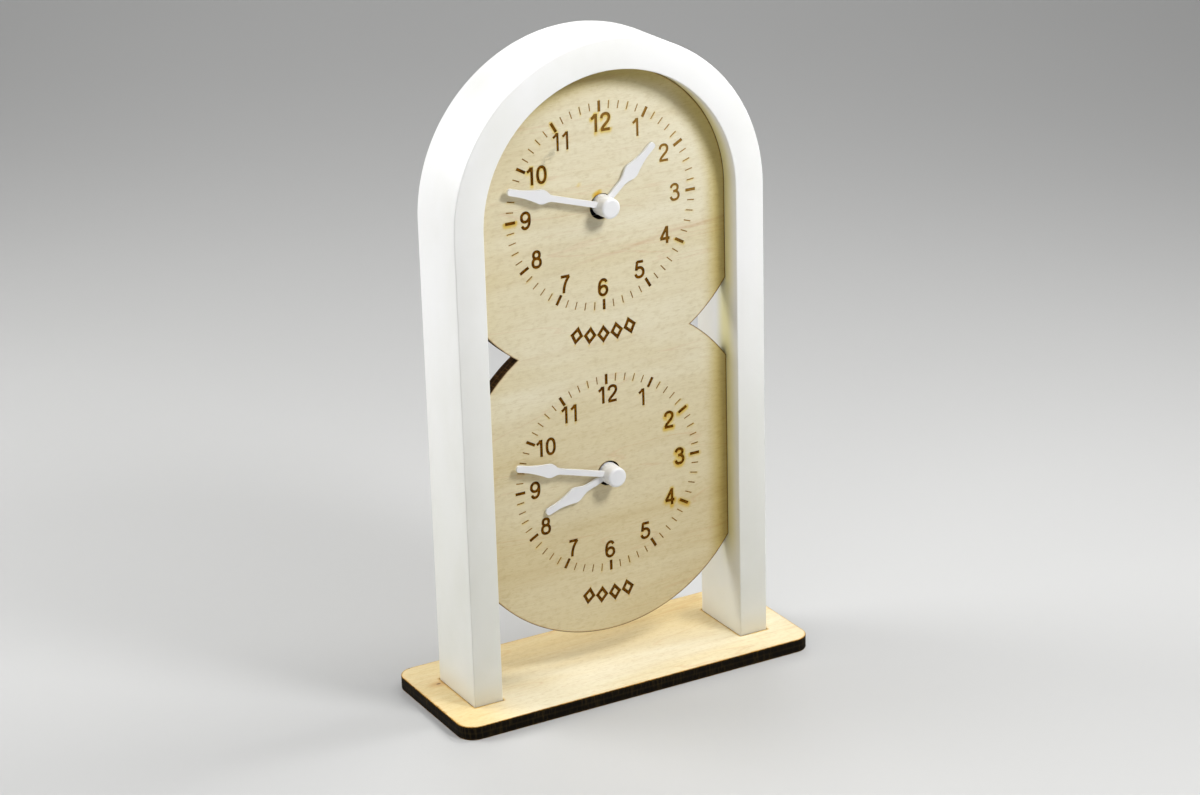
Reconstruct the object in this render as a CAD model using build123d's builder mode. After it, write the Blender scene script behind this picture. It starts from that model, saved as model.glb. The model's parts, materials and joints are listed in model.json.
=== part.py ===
"""World time clock: two quartz dials on one plywood panel, in a white arch on a plywood base.

Millimetres, +Z up. The dials face -Y and the origin is the middle of the base's underside.
"""
from build123d import *
from dataclasses import dataclass
from math import cos, radians, sin
import os

# Stand: the base, the arch and the panel that holds both dials
board = 6.35                # plywood of the base and of the dial panel
base_margin = 13.8          # the base past each side of the frame
base_width = 70.0
base_corner = 8.0
frame_width = 152.4
frame_depth = 34.7
leg_face = 14.1             # width of a leg as seen from the front
leg_height = 215.9          # from the top of the base to the centre of the arch
frame_edge = 0.8            # the softened long edges
mortise_gap = 0.12          # the laser's cut round each foot
foot_recess = 0.2           # the feet stop short of the underside
dial_spacing = 124.1
dial_recess = 9.75          # from the front of the frame to the front of the panel
lobe_radius = 75.8          # round outline of the panel about each dial
panel_gap = 0.1             # between the panel and the frame
dial_hole_radius = 5.8
upper_glue_shift = (0.3, 0.7)   # the movements are stuck on by hand, a little off centre
lower_glue_shift = (0.0, 0.3)
upper_minute_angle = 287.0  # where the hands point, clockwise from twelve
upper_hour_angle = 47.2
lower_minute_angle = 285.4
lower_hour_angle = 250.3

# Hands, pushed on the pipe and the arbor, with a round cap over the end
hub_radius = 4.7
cap_radius = 4.6
cap_edge = 0.5
cap_reach = 8.4             # front of the cap, ahead of the dial
hand_thickness = 1.2
hand_bevel = 0.3
hour_hand_reach = 1.85      # front of the hour hand, ahead of the dial
minute_hand_reach = 3.5
hub_sink = 0.6              # the hour hand's hub enters the dial's hole
hands_gap = 0.2             # between the two hubs
arbor_reach = 6.5           # front end of the minute arbor
push_gap = 0.02             # what is pushed on a pipe or an arbor
bow_share = 0.12            # how far the long side of a blade bows in
corner_share = 0.3          # rounding of a blade's shoulders, of its width
tip_share = 0.3             # how blunt its tip is

# Blades of the hands: widths across, and distances from the axis
minute_shaft_width = 2.6
minute_neck = 28.0
minute_shoulder = 31.8
minute_shoulder_width = 6.9
minute_slim = 43.0
minute_slim_width = 3.0
minute_tip = 49.3
hour_shaft_width = 2.9
hour_neck = 13.6
hour_shoulder = 18.9
hour_shoulder_width = 7.6
hour_slim = 28.0
hour_slim_width = 3.1
hour_tip = 34.8

# Movement: the case, what sticks it to the panel, and the battery bay
pad_thickness = 0.8
pad_width = 50.0
pad_hole_width = 13.0
case_width = 56.0
case_depth = 16.0
case_wall = 1.2
case_corner = 2.5           # the cut corners
partition_wall = 1.0
bay_height = 15.0
cover_thickness = 1.4
lip_thickness = 0.8
lip_height = 1.2
seat_gap = 0.1              # between parts that are dropped into each other
battery_radius = 7.1
battery_length = 49.2
nub_radius = 2.75
nub_length = 1.3
contact_thickness = 0.4
contact_width = 9.0
spring_rise = 1.7           # how far the bowed contact stands off its wall

# Bush and arbors; a running gap is the play in each bearing
running_gap = 0.05
bush_radius = 4.0
bush_bore_radius = 2.6
bush_recess = 1.0           # the bush ends this far inside the dial's hole
flange_radius = 5.5
flange_thickness = 0.8
minute_arbor_radius = 1.6
socket_radius = 0.95        # bore in the back of the minute arbor
socket_depth = 2.0
train_arbor_radius = 0.5
setting_arbor_radius = 0.6
boss_width = 3.2
boss_height = 1.0
pivot_boss_height = 0.4       # round the minute wheel's front pivot
bearing_sides = 8           # arbors and bearings inside the movement have flats
end_play = 0.2
knob_radius = 4.0
knob_thickness = 2.0
knob_standoff = 0.2
stem_radius = 1.4
stem_length = 2.4

# Layers of the movement, from the front to the back
layer_gap = 0.2
wheel_thickness = 0.8
motion_space = 1.2          # between the hour wheel and the minute wheel
plate_space = 1.0           # between the minute wheel and the middle plate
plate_thickness = 0.8
train_space = 0.4           # between the middle plate and the centre wheel
train_step = 0.6            # between one wheel of the train and the next
face_overlap = 0.15         # a pinion stands this far past the wheel that it meets

# Teeth: counts, centre distances, and where each arbor lies about the dial's axis
cannon_teeth = 10
minute_teeth = 30
minute_pinion_teeth = 8
hour_teeth = 32
motion_distance = 9.0
minute_bearing = 15.0       # degrees, from +X, as seen from the front
pinion_teeth = 6
centre_teeth = 48
third_teeth = 45
second_teeth = 30
intermediate_teeth = 36
train_distance = 8.91
third_bearing = 170.0
second_distance = 9.0
intermediate_bearing = 93.0
rotor_distance = 7.98
rotor_bearing = 50.0
wheel_tooth_shares = (1.0, 1.3)     # tip and root, in modules from the pitch circle
pinion_tooth_shares = (0.8, 1.35)

# Middle plate, motor and circuit
plate_width = 34.0
plate_height = 27.2
plate_drop = 9.8            # lower edge of the plate, below the axis
plate_inset = 2.3
post_width = 2.6
peg_width = 1.2
magnet_radius = 2.25
magnet_length = 1.8
magnet_gap = 0.4            # air gap round the magnet
stator_thickness = 0.8
stator_inset = 0.5          # from each end of the middle plate
stator_bar = 6.0
stator_arm = 4.0
coil_rise = 7.1             # from the rotor up to the coil's core
bobbin_width = 8.0
winding_radius = 3.6
winding_gap = 1.5           # between the bobbin and the stator's arms
bobbin_flange = 1.0
circuit_height = 20.0
circuit_thickness = 0.8
circuit_rise = 14.0         # middle of the board, above the axis
circuit_post = 1.8
chip_width = 4.0
chip_height = 0.8
crystal_radius = 1.0
crystal_length = 6.2
crystal_shift = 3.0         # from the middle of the board

# Places that follow from the sizes above
base_top = board
base_length = frame_width + 2 * base_margin
arch_centre = base_top + leg_height
arch_inner = frame_width / 2 - leg_face
frame_back = frame_depth / 2
panel_front = dial_recess - frame_back
panel_back = panel_front + board
case_front = panel_back + pad_thickness
lower_dial = arch_centre - dial_spacing

dial_depth = -(pad_thickness + board)       # depths count from the case's front face
cover_depth = case_depth - cover_thickness
hour_depth = case_wall + flange_thickness + layer_gap
minute_depth = hour_depth + wheel_thickness + motion_space
plate_depth = minute_depth + wheel_thickness + plate_space
centre_depth = plate_depth + plate_thickness + train_space
third_depth = centre_depth + wheel_thickness + train_step
second_depth = third_depth + wheel_thickness + train_step
intermediate_depth = second_depth + wheel_thickness + train_step
arbor_end = case_depth - cover_thickness / 2
pinion_length = wheel_thickness + 2 * face_overlap
cannon_end = centre_depth - layer_gap
boss_depth = cover_depth - boss_height
room_floor = bay_height + case_wall + partition_wall - case_width / 2
room_top = case_width / 2 - case_wall
room_width = case_width - 2 * case_wall
stator_depth = centre_depth + wheel_thickness + seat_gap
stator_width = plate_width - 2 * stator_inset
winding_length = stator_width - 2 * (stator_arm + winding_gap + bobbin_flange)
circuit_width = (room_width - plate_width - post_width) / 2 + plate_inset - 2 * seat_gap


def beside(spot, distance, bearing):
    """The place at this distance and angle from a spot, as seen from the front."""
    across, up = spot
    return across + distance * cos(radians(bearing)), up + distance * sin(radians(bearing))


axis = (0, 0)
minute_spot = beside(axis, motion_distance, minute_bearing)
third_spot = beside(axis, train_distance, third_bearing)
intermediate_spot = beside(axis, second_distance, intermediate_bearing)
rotor_spot = beside(intermediate_spot, rotor_distance, rotor_bearing)
plate_spot = (0, plate_height / 2 - plate_drop)
stator_spot = (0, rotor_spot[1])
coil_spot = (0, rotor_spot[1] + coil_rise)
circuit_spot = (seat_gap + circuit_width / 2 - room_width / 2, circuit_rise)
bay_spot = (0, case_wall + bay_height / 2 - case_width / 2)
room_spot = (0, (room_top + room_floor) / 2)
cover_spot = (0, (case_width / 2 + room_floor - partition_wall) / 2)


@dataclass(frozen=True)
class Blade:
    """Outline of a hand, by distances from the axis and widths across."""

    shaft_width: float
    neck_radius: float
    shoulder_radius: float
    shoulder_width: float
    slim_radius: float
    slim_width: float
    tip_radius: float


minute_blade = Blade(minute_shaft_width, minute_neck, minute_shoulder, minute_shoulder_width,
                     minute_slim, minute_slim_width, minute_tip)
hour_blade = Blade(hour_shaft_width, hour_neck, hour_shoulder, hour_shoulder_width,
                   hour_slim, hour_slim_width, hour_tip)


@dataclass(frozen=True)
class Clock:
    """One dial's movement: where its axis stands, and where its hands point at rest."""

    name: str
    across: float
    up: float
    minute_angle: float     # degrees, clockwise from twelve
    hour_angle: float

    def point(self, spot, depth):
        """A spot about the axis, this far behind the case's front face."""
        return self.across + spot[0], case_front + depth, self.up + spot[1]

    def plane(self, spot, depth):
        """The plane through such a point that looks forward, with its X to the right."""
        return Plane(origin=self.point(spot, depth), x_dir=(1, 0, 0), z_dir=(0, -1, 0))

    def side_plane(self, spot, depth):
        """The plane through such a point that looks to the right."""
        return Plane(origin=self.point(spot, depth), x_dir=(0, 1, 0), z_dir=(1, 0, 0))

    def hand_plane(self, depth, angle):
        """The plane across the axis whose X runs along a hand."""
        along = (sin(radians(angle)), 0, cos(radians(angle)))
        return Plane(origin=self.point(axis, depth), x_dir=along, z_dir=(0, -1, 0))


clocks = (
    Clock("upper", upper_glue_shift[0], arch_centre + upper_glue_shift[1],
          upper_minute_angle, upper_hour_angle),
    Clock("lower", lower_glue_shift[0], lower_dial + lower_glue_shift[1],
          lower_minute_angle, lower_hour_angle),
)


def facing(y, z):
    """The plane at this depth and height that looks forward."""
    return Plane(origin=(0, y, z), x_dir=(1, 0, 0), z_dir=(0, -1, 0))


def disc(plane, radius):
    """A round outline."""
    with BuildSketch(plane) as outline:
        Circle(radius)
    return outline.sketch


def arbor(plane, radius):
    """Outline of an arbor, whose corners lie on this radius."""
    with BuildSketch(plane) as outline:
        RegularPolygon(radius, bearing_sides)
    return outline.sketch


def bearing(plane, radius):
    """Outline of the hole round an arbor, whose flats lie on this radius."""
    with BuildSketch(plane) as outline:
        RegularPolygon(radius, bearing_sides, major_radius=False)
    return outline.sketch


def teeth(plane, count, module, aim, tooth_at_aim, shares):
    """A ring of pointed teeth with a tooth, or else a gap, at the aim angle."""
    tip_modules, root_modules = shares
    pitch = 360 / count
    root = (count / 2 - root_modules) * module
    tip = (count / 2 + tip_modules) * module
    first = aim if tooth_at_aim else aim + pitch / 2
    corners = []
    for tooth in range(count):
        middle = first + tooth * pitch
        corners.append(beside(axis, root, middle - pitch / 2))
        corners.append(beside(axis, tip, middle))
    with BuildSketch(plane) as ring:
        with BuildLine():
            Polyline(*corners, close=True)
        make_face()
    return ring.sketch


def build_base_plate():
    """Plywood base, with a mortise right through it for each leg."""
    with BuildPart() as plate:
        with BuildSketch(Plane.XY):
            RectangleRounded(base_length, base_width, base_corner)
            with GridLocations(frame_width - leg_face, 0, 2, 1):
                Rectangle(leg_face + 2 * mortise_gap, frame_depth + 2 * mortise_gap, mode=Mode.SUBTRACT)
        extrude(amount=board)
    return plate


def build_arch_frame():
    """Two legs and a half-round arch in one piece, with soft long edges."""
    with BuildPart() as frame:
        with BuildSketch(facing(frame_back, arch_centre)):
            Circle(frame_width / 2)
            with Locations((0, (foot_recess - arch_centre) / 2)):
                Rectangle(frame_width, arch_centre - foot_recess)
                Rectangle(2 * arch_inner, arch_centre - foot_recess, mode=Mode.SUBTRACT)
            Circle(arch_inner, mode=Mode.SUBTRACT)
        extrude(amount=frame_depth)
        long_edges = frame.faces().filter_by(Axis.Y).edges().filter_by(Axis.X, reverse=True)
        chamfer(long_edges, frame_edge)
    return frame


def build_dial_panel():
    """Two round lobes, cut off by the legs and the arch, with a V notch at each side."""
    half_width = arch_inner - panel_gap
    with BuildPart() as panel:
        with BuildSketch(facing(panel_back, arch_centre)):
            with Locations((0, 0), (0, -dial_spacing)):
                Circle(lobe_radius)
            with BuildSketch(mode=Mode.INTERSECT):
                Circle(half_width)
                with Locations((0, -leg_height / 2)):
                    Rectangle(2 * half_width, leg_height)
            with Locations((0, 0), (0, -dial_spacing)):
                Circle(dial_hole_radius, mode=Mode.SUBTRACT)
        extrude(amount=board)
    return panel


def build_fixing_pad(clock):
    """Foam tape between the case and the back of the panel."""
    with BuildPart() as pad:
        with BuildSketch(clock.plane(axis, 0)):
            Rectangle(pad_width, pad_width)
            Rectangle(pad_hole_width, pad_hole_width, mode=Mode.SUBTRACT)
        extrude(amount=pad_thickness)
    return pad


def build_movement_case(clock):
    """Front shell: gear room above, battery bay below, posts for what sits inside."""
    with BuildPart() as case:
        with BuildSketch(clock.plane(axis, cover_depth)):
            outline = Rectangle(case_width, case_width)
            chamfer(outline.vertices(), case_corner)
        extrude(amount=cover_depth)
        with BuildSketch(clock.plane(room_spot, cover_depth)):
            Rectangle(room_width, room_top - room_floor)
        with BuildSketch(clock.plane(bay_spot, cover_depth)):
            Rectangle(room_width, bay_height)
        extrude(amount=cover_depth - case_wall, mode=Mode.SUBTRACT)
        with BuildSketch(clock.plane(plate_spot, plate_depth)):
            with GridLocations(plate_width - 2 * plate_inset, plate_height - 2 * plate_inset, 2, 2):
                Rectangle(post_width, post_width)
        extrude(amount=plate_depth - case_wall)
        with BuildSketch(clock.plane(plate_spot, plate_depth + plate_thickness)):
            with GridLocations(plate_width - 2 * plate_inset, plate_height - 2 * plate_inset, 2, 2):
                Rectangle(peg_width, peg_width)
        extrude(amount=plate_thickness)
        with BuildSketch(clock.plane(coil_spot, stator_depth)):
            with GridLocations(stator_width - stator_arm, 0, 2, 1):
                Rectangle(post_width, post_width)
        extrude(amount=stator_depth - case_wall)
        with BuildSketch(clock.plane(circuit_spot, case_wall + circuit_post)):
            with GridLocations(0, circuit_height - 2 * plate_inset, 1, 2):
                Rectangle(post_width, post_width)
        extrude(amount=circuit_post)
        with BuildSketch(clock.plane(minute_spot, case_wall + pivot_boss_height)):
            Rectangle(post_width, post_width)
        extrude(amount=pivot_boss_height)
        extrude(bearing(clock.plane(minute_spot, case_wall + pivot_boss_height),
                        setting_arbor_radius + running_gap),
                amount=pivot_boss_height + case_wall / 2, mode=Mode.SUBTRACT)
        extrude(bearing(clock.plane(axis, case_wall), bush_radius + seat_gap),
                amount=case_wall, mode=Mode.SUBTRACT)
    return case


def build_movement_cover(clock):
    """Back shell over the gear room, with a lip, four bearings and the hole for the knob."""
    cover_height = case_width / 2 - room_floor + partition_wall
    bearings = (axis, third_spot, intermediate_spot, rotor_spot)
    with BuildPart() as cover:
        with BuildSketch(clock.plane(cover_spot, case_depth)):
            outline = Rectangle(case_width, cover_height)
            chamfer(outline.vertices().group_by(Axis.Y)[-1], case_corner)
        extrude(amount=cover_thickness)
        with BuildSketch(clock.plane(room_spot, cover_depth)):
            lip_width = room_width - 2 * seat_gap
            lip_rise = room_top - room_floor - 2 * seat_gap
            Rectangle(lip_width, lip_rise)
            Rectangle(lip_width - 2 * lip_thickness, lip_rise - 2 * lip_thickness, mode=Mode.SUBTRACT)
        extrude(amount=lip_height)
        with BuildSketch(clock.plane(axis, cover_depth)):
            with Locations(*bearings):
                Rectangle(boss_width, boss_width)
        extrude(amount=boss_height)
        with BuildSketch(clock.plane(axis, arbor_end + end_play)):
            with Locations(*bearings):
                RegularPolygon(train_arbor_radius + running_gap, bearing_sides, major_radius=False)
        extrude(amount=arbor_end + end_play - boss_depth, mode=Mode.SUBTRACT)
        extrude(bearing(clock.plane(minute_spot, case_depth), stem_radius + running_gap),
                amount=cover_thickness, mode=Mode.SUBTRACT)
    return cover


def build_middle_plate(clock):
    """Plate between the motion work and the train, held by four pegs."""
    with BuildPart() as plate:
        with BuildSketch(clock.plane(plate_spot, plate_depth + plate_thickness)):
            Rectangle(plate_width, plate_height)
            with GridLocations(plate_width - 2 * plate_inset, plate_height - 2 * plate_inset, 2, 2):
                Rectangle(peg_width + 2 * seat_gap, peg_width + 2 * seat_gap, mode=Mode.SUBTRACT)
        extrude(amount=plate_thickness)
        for spot, radius in (
            (axis, minute_arbor_radius),
            (minute_spot, setting_arbor_radius),
            (third_spot, train_arbor_radius),
            (intermediate_spot, train_arbor_radius),
            (rotor_spot, train_arbor_radius),
        ):
            extrude(bearing(clock.plane(spot, plate_depth + plate_thickness), radius + running_gap),
                    amount=plate_thickness, mode=Mode.SUBTRACT)
    return plate


def build_shaft_bush(clock):
    """Brass bush through the dial's hole, with a flange inside the case."""
    front = dial_depth + bush_recess
    with BuildPart() as bush:
        extrude(arbor(clock.plane(axis, case_wall + flange_thickness), flange_radius),
                amount=flange_thickness)
        extrude(arbor(clock.plane(axis, case_wall), bush_radius), amount=case_wall - front)
        extrude(bearing(clock.plane(axis, case_wall + flange_thickness), bush_bore_radius),
                amount=case_wall + flange_thickness - front, mode=Mode.SUBTRACT)
    return bush


def build_hour_wheel(clock):
    """Hour wheel and its pipe, which turns in the bush and carries the hour hand."""
    back = hour_depth + wheel_thickness
    front = dial_depth - hour_hand_reach + seat_gap
    module = 2 * motion_distance / (hour_teeth + minute_pinion_teeth)
    with BuildPart() as wheel:
        extrude(teeth(clock.plane(axis, back), hour_teeth, module, minute_bearing, True,
                      wheel_tooth_shares), amount=wheel_thickness)
        extrude(disc(clock.plane(axis, back), bush_bore_radius - running_gap), amount=back - front)
        extrude(bearing(clock.plane(axis, back), minute_arbor_radius + running_gap),
                amount=back - front, mode=Mode.SUBTRACT)
    return wheel


def build_cannon_pinion(clock):
    """Minute arbor with the cannon pinion; the centre wheel's stub sits in its back end."""
    front = dial_depth - arbor_reach
    pinion_back = minute_depth + wheel_thickness + face_overlap
    module = 2 * motion_distance / (cannon_teeth + minute_teeth)
    with BuildPart() as pinion:
        extrude(disc(clock.plane(axis, pinion_back), minute_arbor_radius), amount=pinion_back - front)
        extrude(arbor(clock.plane(axis, cannon_end), minute_arbor_radius),
                amount=cannon_end - pinion_back)
        extrude(teeth(clock.plane(axis, pinion_back), cannon_teeth, module, minute_bearing, False,
                      pinion_tooth_shares), amount=pinion_length)
        extrude(bearing(clock.plane(axis, cannon_end), socket_radius),
                amount=socket_depth, mode=Mode.SUBTRACT)
    return pinion


def build_minute_wheel(clock):
    """Wheel that turns the motion down 12 to 1, on the arbor that the knob sits on."""
    end = case_depth + knob_thickness / 2
    start = case_wall / 2 + end_play
    module = 2 * motion_distance / (cannon_teeth + minute_teeth)
    pinion_module = 2 * motion_distance / (hour_teeth + minute_pinion_teeth)
    toward_axis = minute_bearing + 180
    with BuildPart() as wheel:
        extrude(arbor(clock.plane(minute_spot, end), setting_arbor_radius), amount=end - start)
        extrude(teeth(clock.plane(minute_spot, minute_depth + wheel_thickness), minute_teeth, module,
                      toward_axis, True, wheel_tooth_shares), amount=wheel_thickness)
        extrude(teeth(clock.plane(minute_spot, minute_depth), minute_pinion_teeth, pinion_module,
                      toward_axis, False, pinion_tooth_shares),
                amount=minute_depth - hour_depth + face_overlap)
    return wheel


def build_setting_knob(clock):
    """Knob at the back, with a stem through the cover."""
    front = case_depth + knob_standoff
    with BuildPart() as knob:
        extrude(disc(clock.plane(minute_spot, front + knob_thickness), knob_radius),
                amount=knob_thickness)
        extrude(arbor(clock.plane(minute_spot, front), stem_radius), amount=stem_length)
        extrude(bearing(clock.plane(minute_spot, case_depth + knob_thickness / 2 + end_play),
                        setting_arbor_radius + push_gap),
                amount=stem_length + knob_thickness, mode=Mode.SUBTRACT)
    return knob


def build_centre_wheel(clock):
    """Centre wheel, whose stub grips the minute arbor and guides the second wheel's arbor."""
    back = centre_depth + wheel_thickness
    stub_length = wheel_thickness + layer_gap + socket_depth - end_play
    module = 2 * train_distance / (centre_teeth + pinion_teeth)
    with BuildPart() as wheel:
        extrude(teeth(clock.plane(axis, back), centre_teeth, module, third_bearing, True,
                      wheel_tooth_shares), amount=wheel_thickness)
        extrude(arbor(clock.plane(axis, back), socket_radius - running_gap), amount=stub_length)
        extrude(bearing(clock.plane(axis, back), train_arbor_radius + running_gap),
                amount=stub_length, mode=Mode.SUBTRACT)
    return wheel


def build_third_wheel(clock):
    """Wheel between the second wheel's pinion and the centre wheel."""
    start = plate_depth + seat_gap
    module = 2 * train_distance / (third_teeth + pinion_teeth)
    pinion_module = 2 * train_distance / (centre_teeth + pinion_teeth)
    toward_axis = third_bearing + 180
    with BuildPart() as wheel:
        extrude(arbor(clock.plane(third_spot, arbor_end), train_arbor_radius), amount=arbor_end - start)
        extrude(teeth(clock.plane(third_spot, third_depth + wheel_thickness), third_teeth, module,
                      toward_axis, True, wheel_tooth_shares), amount=wheel_thickness)
        extrude(teeth(clock.plane(third_spot, third_depth), pinion_teeth, pinion_module,
                      toward_axis, False, pinion_tooth_shares),
                amount=third_depth - centre_depth + face_overlap)
    return wheel


def build_second_wheel(clock):
    """Wheel that turns once a minute, with the pinion that drives the third wheel."""
    start = cannon_end - socket_depth + end_play + seat_gap
    module = 2 * second_distance / (second_teeth + pinion_teeth)
    pinion_module = 2 * train_distance / (third_teeth + pinion_teeth)
    with BuildPart() as wheel:
        extrude(arbor(clock.plane(axis, arbor_end), train_arbor_radius), amount=arbor_end - start)
        extrude(teeth(clock.plane(axis, second_depth + wheel_thickness), second_teeth, module,
                      intermediate_bearing, True, wheel_tooth_shares), amount=wheel_thickness)
        extrude(teeth(clock.plane(axis, second_depth), pinion_teeth, pinion_module,
                      third_bearing, False, pinion_tooth_shares),
                amount=second_depth - third_depth + face_overlap)
    return wheel


def build_intermediate_wheel(clock):
    """Wheel between the rotor and the second wheel."""
    start = plate_depth + seat_gap
    module = 2 * rotor_distance / (intermediate_teeth + pinion_teeth)
    pinion_module = 2 * second_distance / (second_teeth + pinion_teeth)
    with BuildPart() as wheel:
        extrude(arbor(clock.plane(intermediate_spot, arbor_end), train_arbor_radius),
                amount=arbor_end - start)
        extrude(teeth(clock.plane(intermediate_spot, intermediate_depth + wheel_thickness),
                      intermediate_teeth, module, rotor_bearing, True, wheel_tooth_shares),
                amount=wheel_thickness)
        extrude(teeth(clock.plane(intermediate_spot, intermediate_depth), pinion_teeth,
                      pinion_module, intermediate_bearing + 180, False, pinion_tooth_shares),
                amount=intermediate_depth - second_depth + face_overlap)
    return wheel


def build_rotor(clock):
    """Magnet on its arbor in the stator's hole, with the first pinion behind it."""
    start = plate_depth + seat_gap
    middle = stator_depth + stator_thickness / 2
    module = 2 * rotor_distance / (intermediate_teeth + pinion_teeth)
    pinion_back = intermediate_depth + wheel_thickness + face_overlap
    with BuildPart() as rotor:
        extrude(arbor(clock.plane(rotor_spot, arbor_end), train_arbor_radius), amount=arbor_end - start)
        extrude(disc(clock.plane(rotor_spot, middle + magnet_length / 2), magnet_radius),
                amount=magnet_length)
        extrude(teeth(clock.plane(rotor_spot, pinion_back), pinion_teeth, module,
                      rotor_bearing + 180, False, pinion_tooth_shares), amount=pinion_length)
    return rotor


def build_stator(clock):
    """Steel plate round the magnet, with an arm up to each end of the coil's core."""
    with BuildPart() as stator:
        with BuildSketch(clock.plane(stator_spot, stator_depth + stator_thickness)):
            Rectangle(stator_width, stator_bar)
            with Locations((0, coil_rise / 2 + stator_arm / 4)):
                with GridLocations(stator_width - stator_arm, 0, 2, 1):
                    Rectangle(stator_arm, coil_rise + stator_arm / 2)
            with Locations((rotor_spot[0], 0)):
                RegularPolygon(magnet_radius + magnet_gap, bearing_sides, major_radius=False,
                               mode=Mode.SUBTRACT)
        extrude(amount=stator_thickness)
    return stator


def build_coil(clock):
    """Bobbin with its winding, on a flat core that lies on the stator's arms."""
    core_back = stator_depth + 2 * stator_thickness
    core_middle = core_back - stator_thickness / 2
    half = winding_length / 2
    with BuildPart() as coil:
        with BuildSketch(clock.plane(coil_spot, core_back)):
            Rectangle(stator_width, stator_arm)
        extrude(amount=stator_thickness)
        extrude(arbor(clock.side_plane((-half, coil_spot[1]), core_middle), winding_radius),
                amount=winding_length)
        for end in (-half - bobbin_flange, half):
            with BuildSketch(clock.side_plane((end, coil_spot[1]), core_middle)):
                Rectangle(bobbin_width, bobbin_width)
            extrude(amount=bobbin_flange)
    return coil


def build_circuit_board(clock):
    """Board on its two posts, with the chip under a drop of resin."""
    back = case_wall + circuit_post + circuit_thickness
    chip_spot = (circuit_spot[0], circuit_spot[1] + crystal_shift)
    with BuildPart() as circuit:
        with BuildSketch(clock.plane(circuit_spot, back)):
            Rectangle(circuit_width, circuit_height)
        extrude(amount=circuit_thickness)
        with BuildSketch(clock.plane(chip_spot, back + chip_height)):
            Rectangle(chip_width, chip_width)
        extrude(amount=chip_height)
    return circuit


def build_quartz_crystal(clock):
    """Crystal in its small can, lying on the board."""
    middle = case_wall + circuit_post + circuit_thickness + crystal_radius + running_gap
    spot = (circuit_spot[0] - crystal_length / 2, circuit_spot[1] - crystal_shift)
    with BuildPart() as crystal:
        extrude(arbor(clock.side_plane(spot, middle), crystal_radius), amount=crystal_length)
    return crystal


def build_battery(clock):
    """Cell that lies across the bay, with its nub to the right."""
    middle = case_wall + seat_gap + battery_radius
    length = battery_length + nub_length
    left = room_width / 2 - contact_thickness - 2 * seat_gap - length
    with BuildPart() as battery:
        with BuildSketch(clock.side_plane((left, bay_spot[1]), middle)):
            Circle(battery_radius)
        extrude(amount=battery_length)
        extrude(arbor(clock.side_plane((left + battery_length, bay_spot[1]), middle), nub_radius),
                amount=nub_length)
    return battery


def build_positive_contact(clock):
    """Flat contact against the right wall of the bay."""
    middle = case_wall + seat_gap + battery_radius
    left = room_width / 2 - seat_gap - contact_thickness
    with BuildPart() as contact:
        with BuildSketch(clock.side_plane((left, bay_spot[1]), middle)):
            Rectangle(contact_width, contact_width)
        extrude(amount=contact_thickness)
    return contact


def build_negative_contact(clock):
    """Bowed spring contact against the left wall of the bay."""
    middle = case_wall + seat_gap + battery_radius
    left = seat_gap - room_width / 2
    half = contact_width / 2
    inner_rise = spring_rise - contact_thickness
    bend = contact_thickness / 2
    with BuildPart() as contact:
        with BuildSketch(Plane(origin=clock.point((left, bay_spot[1] - half), middle))):
            with BuildLine():
                Polyline((0, -half), (spring_rise, -half / 2), (spring_rise, half / 2), (0, half),
                         (0, half - contact_thickness), (inner_rise, half / 2 - bend),
                         (inner_rise, bend - half / 2), (0, contact_thickness - half), close=True)
            make_face()
        extrude(amount=contact_width)
    return contact


def blade(plane, shape):
    """Outline of a hand: a slim shaft, square shoulders, then a long taper to a blunt tip."""
    neck = (shape.neck_radius, shape.shaft_width / 2)
    shoulder = (shape.shoulder_radius, shape.shoulder_width / 2)
    slim = (shape.slim_radius, shape.slim_width / 2)
    bow = bow_share * (shape.shoulder_width - shape.slim_width)
    bowed = ((shoulder[0] + slim[0]) / 2, (shoulder[1] + slim[1]) / 2 - bow)
    side_end = (shape.tip_radius - slim[1], slim[1])
    tip_corner = (shape.tip_radius - tip_share * slim[1], slim[1] - tip_share * slim[1])
    with BuildSketch(plane) as outline:
        with BuildLine():
            Polyline((0, 0), (0, neck[1]), neck, shoulder, bowed, slim, side_end, tip_corner,
                     (shape.tip_radius, 0))
            mirror(about=Plane.XZ)
        make_face()
        shoulders = outline.vertices().group_by(Axis.Y)
        fillet(shoulders[0] + shoulders[-1], corner_share * shape.shoulder_width)
    return outline.sketch


def build_hour_hand(clock):
    """Hour hand, whose hub fits on the hour pipe and enters the dial's hole."""
    front = dial_depth - hour_hand_reach
    back = dial_depth + hub_sink
    with BuildPart() as hand:
        extrude(blade(clock.hand_plane(front + hand_thickness, clock.hour_angle), hour_blade),
                amount=hand_thickness)
        chamfer(hand.faces().sort_by(Axis.Y)[0].edges(), hand_bevel)
        extrude(disc(clock.plane(axis, back), hub_radius), amount=back - front)
        extrude(bearing(clock.plane(axis, back), bush_bore_radius - running_gap + push_gap),
                amount=back - front, mode=Mode.SUBTRACT)
    return hand


def build_minute_hand(clock):
    """Minute hand, pushed on the minute arbor."""
    front = dial_depth - minute_hand_reach
    hub_back = dial_depth - hour_hand_reach - hands_gap
    with BuildPart() as hand:
        extrude(blade(clock.hand_plane(front + hand_thickness, clock.minute_angle), minute_blade),
                amount=hand_thickness)
        chamfer(hand.faces().sort_by(Axis.Y)[0].edges(), hand_bevel)
        extrude(disc(clock.plane(axis, hub_back), hub_radius), amount=hub_back - front)
        extrude(bearing(clock.plane(axis, hub_back), minute_arbor_radius + push_gap),
                amount=hub_back - front, mode=Mode.SUBTRACT)
    return hand


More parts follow.
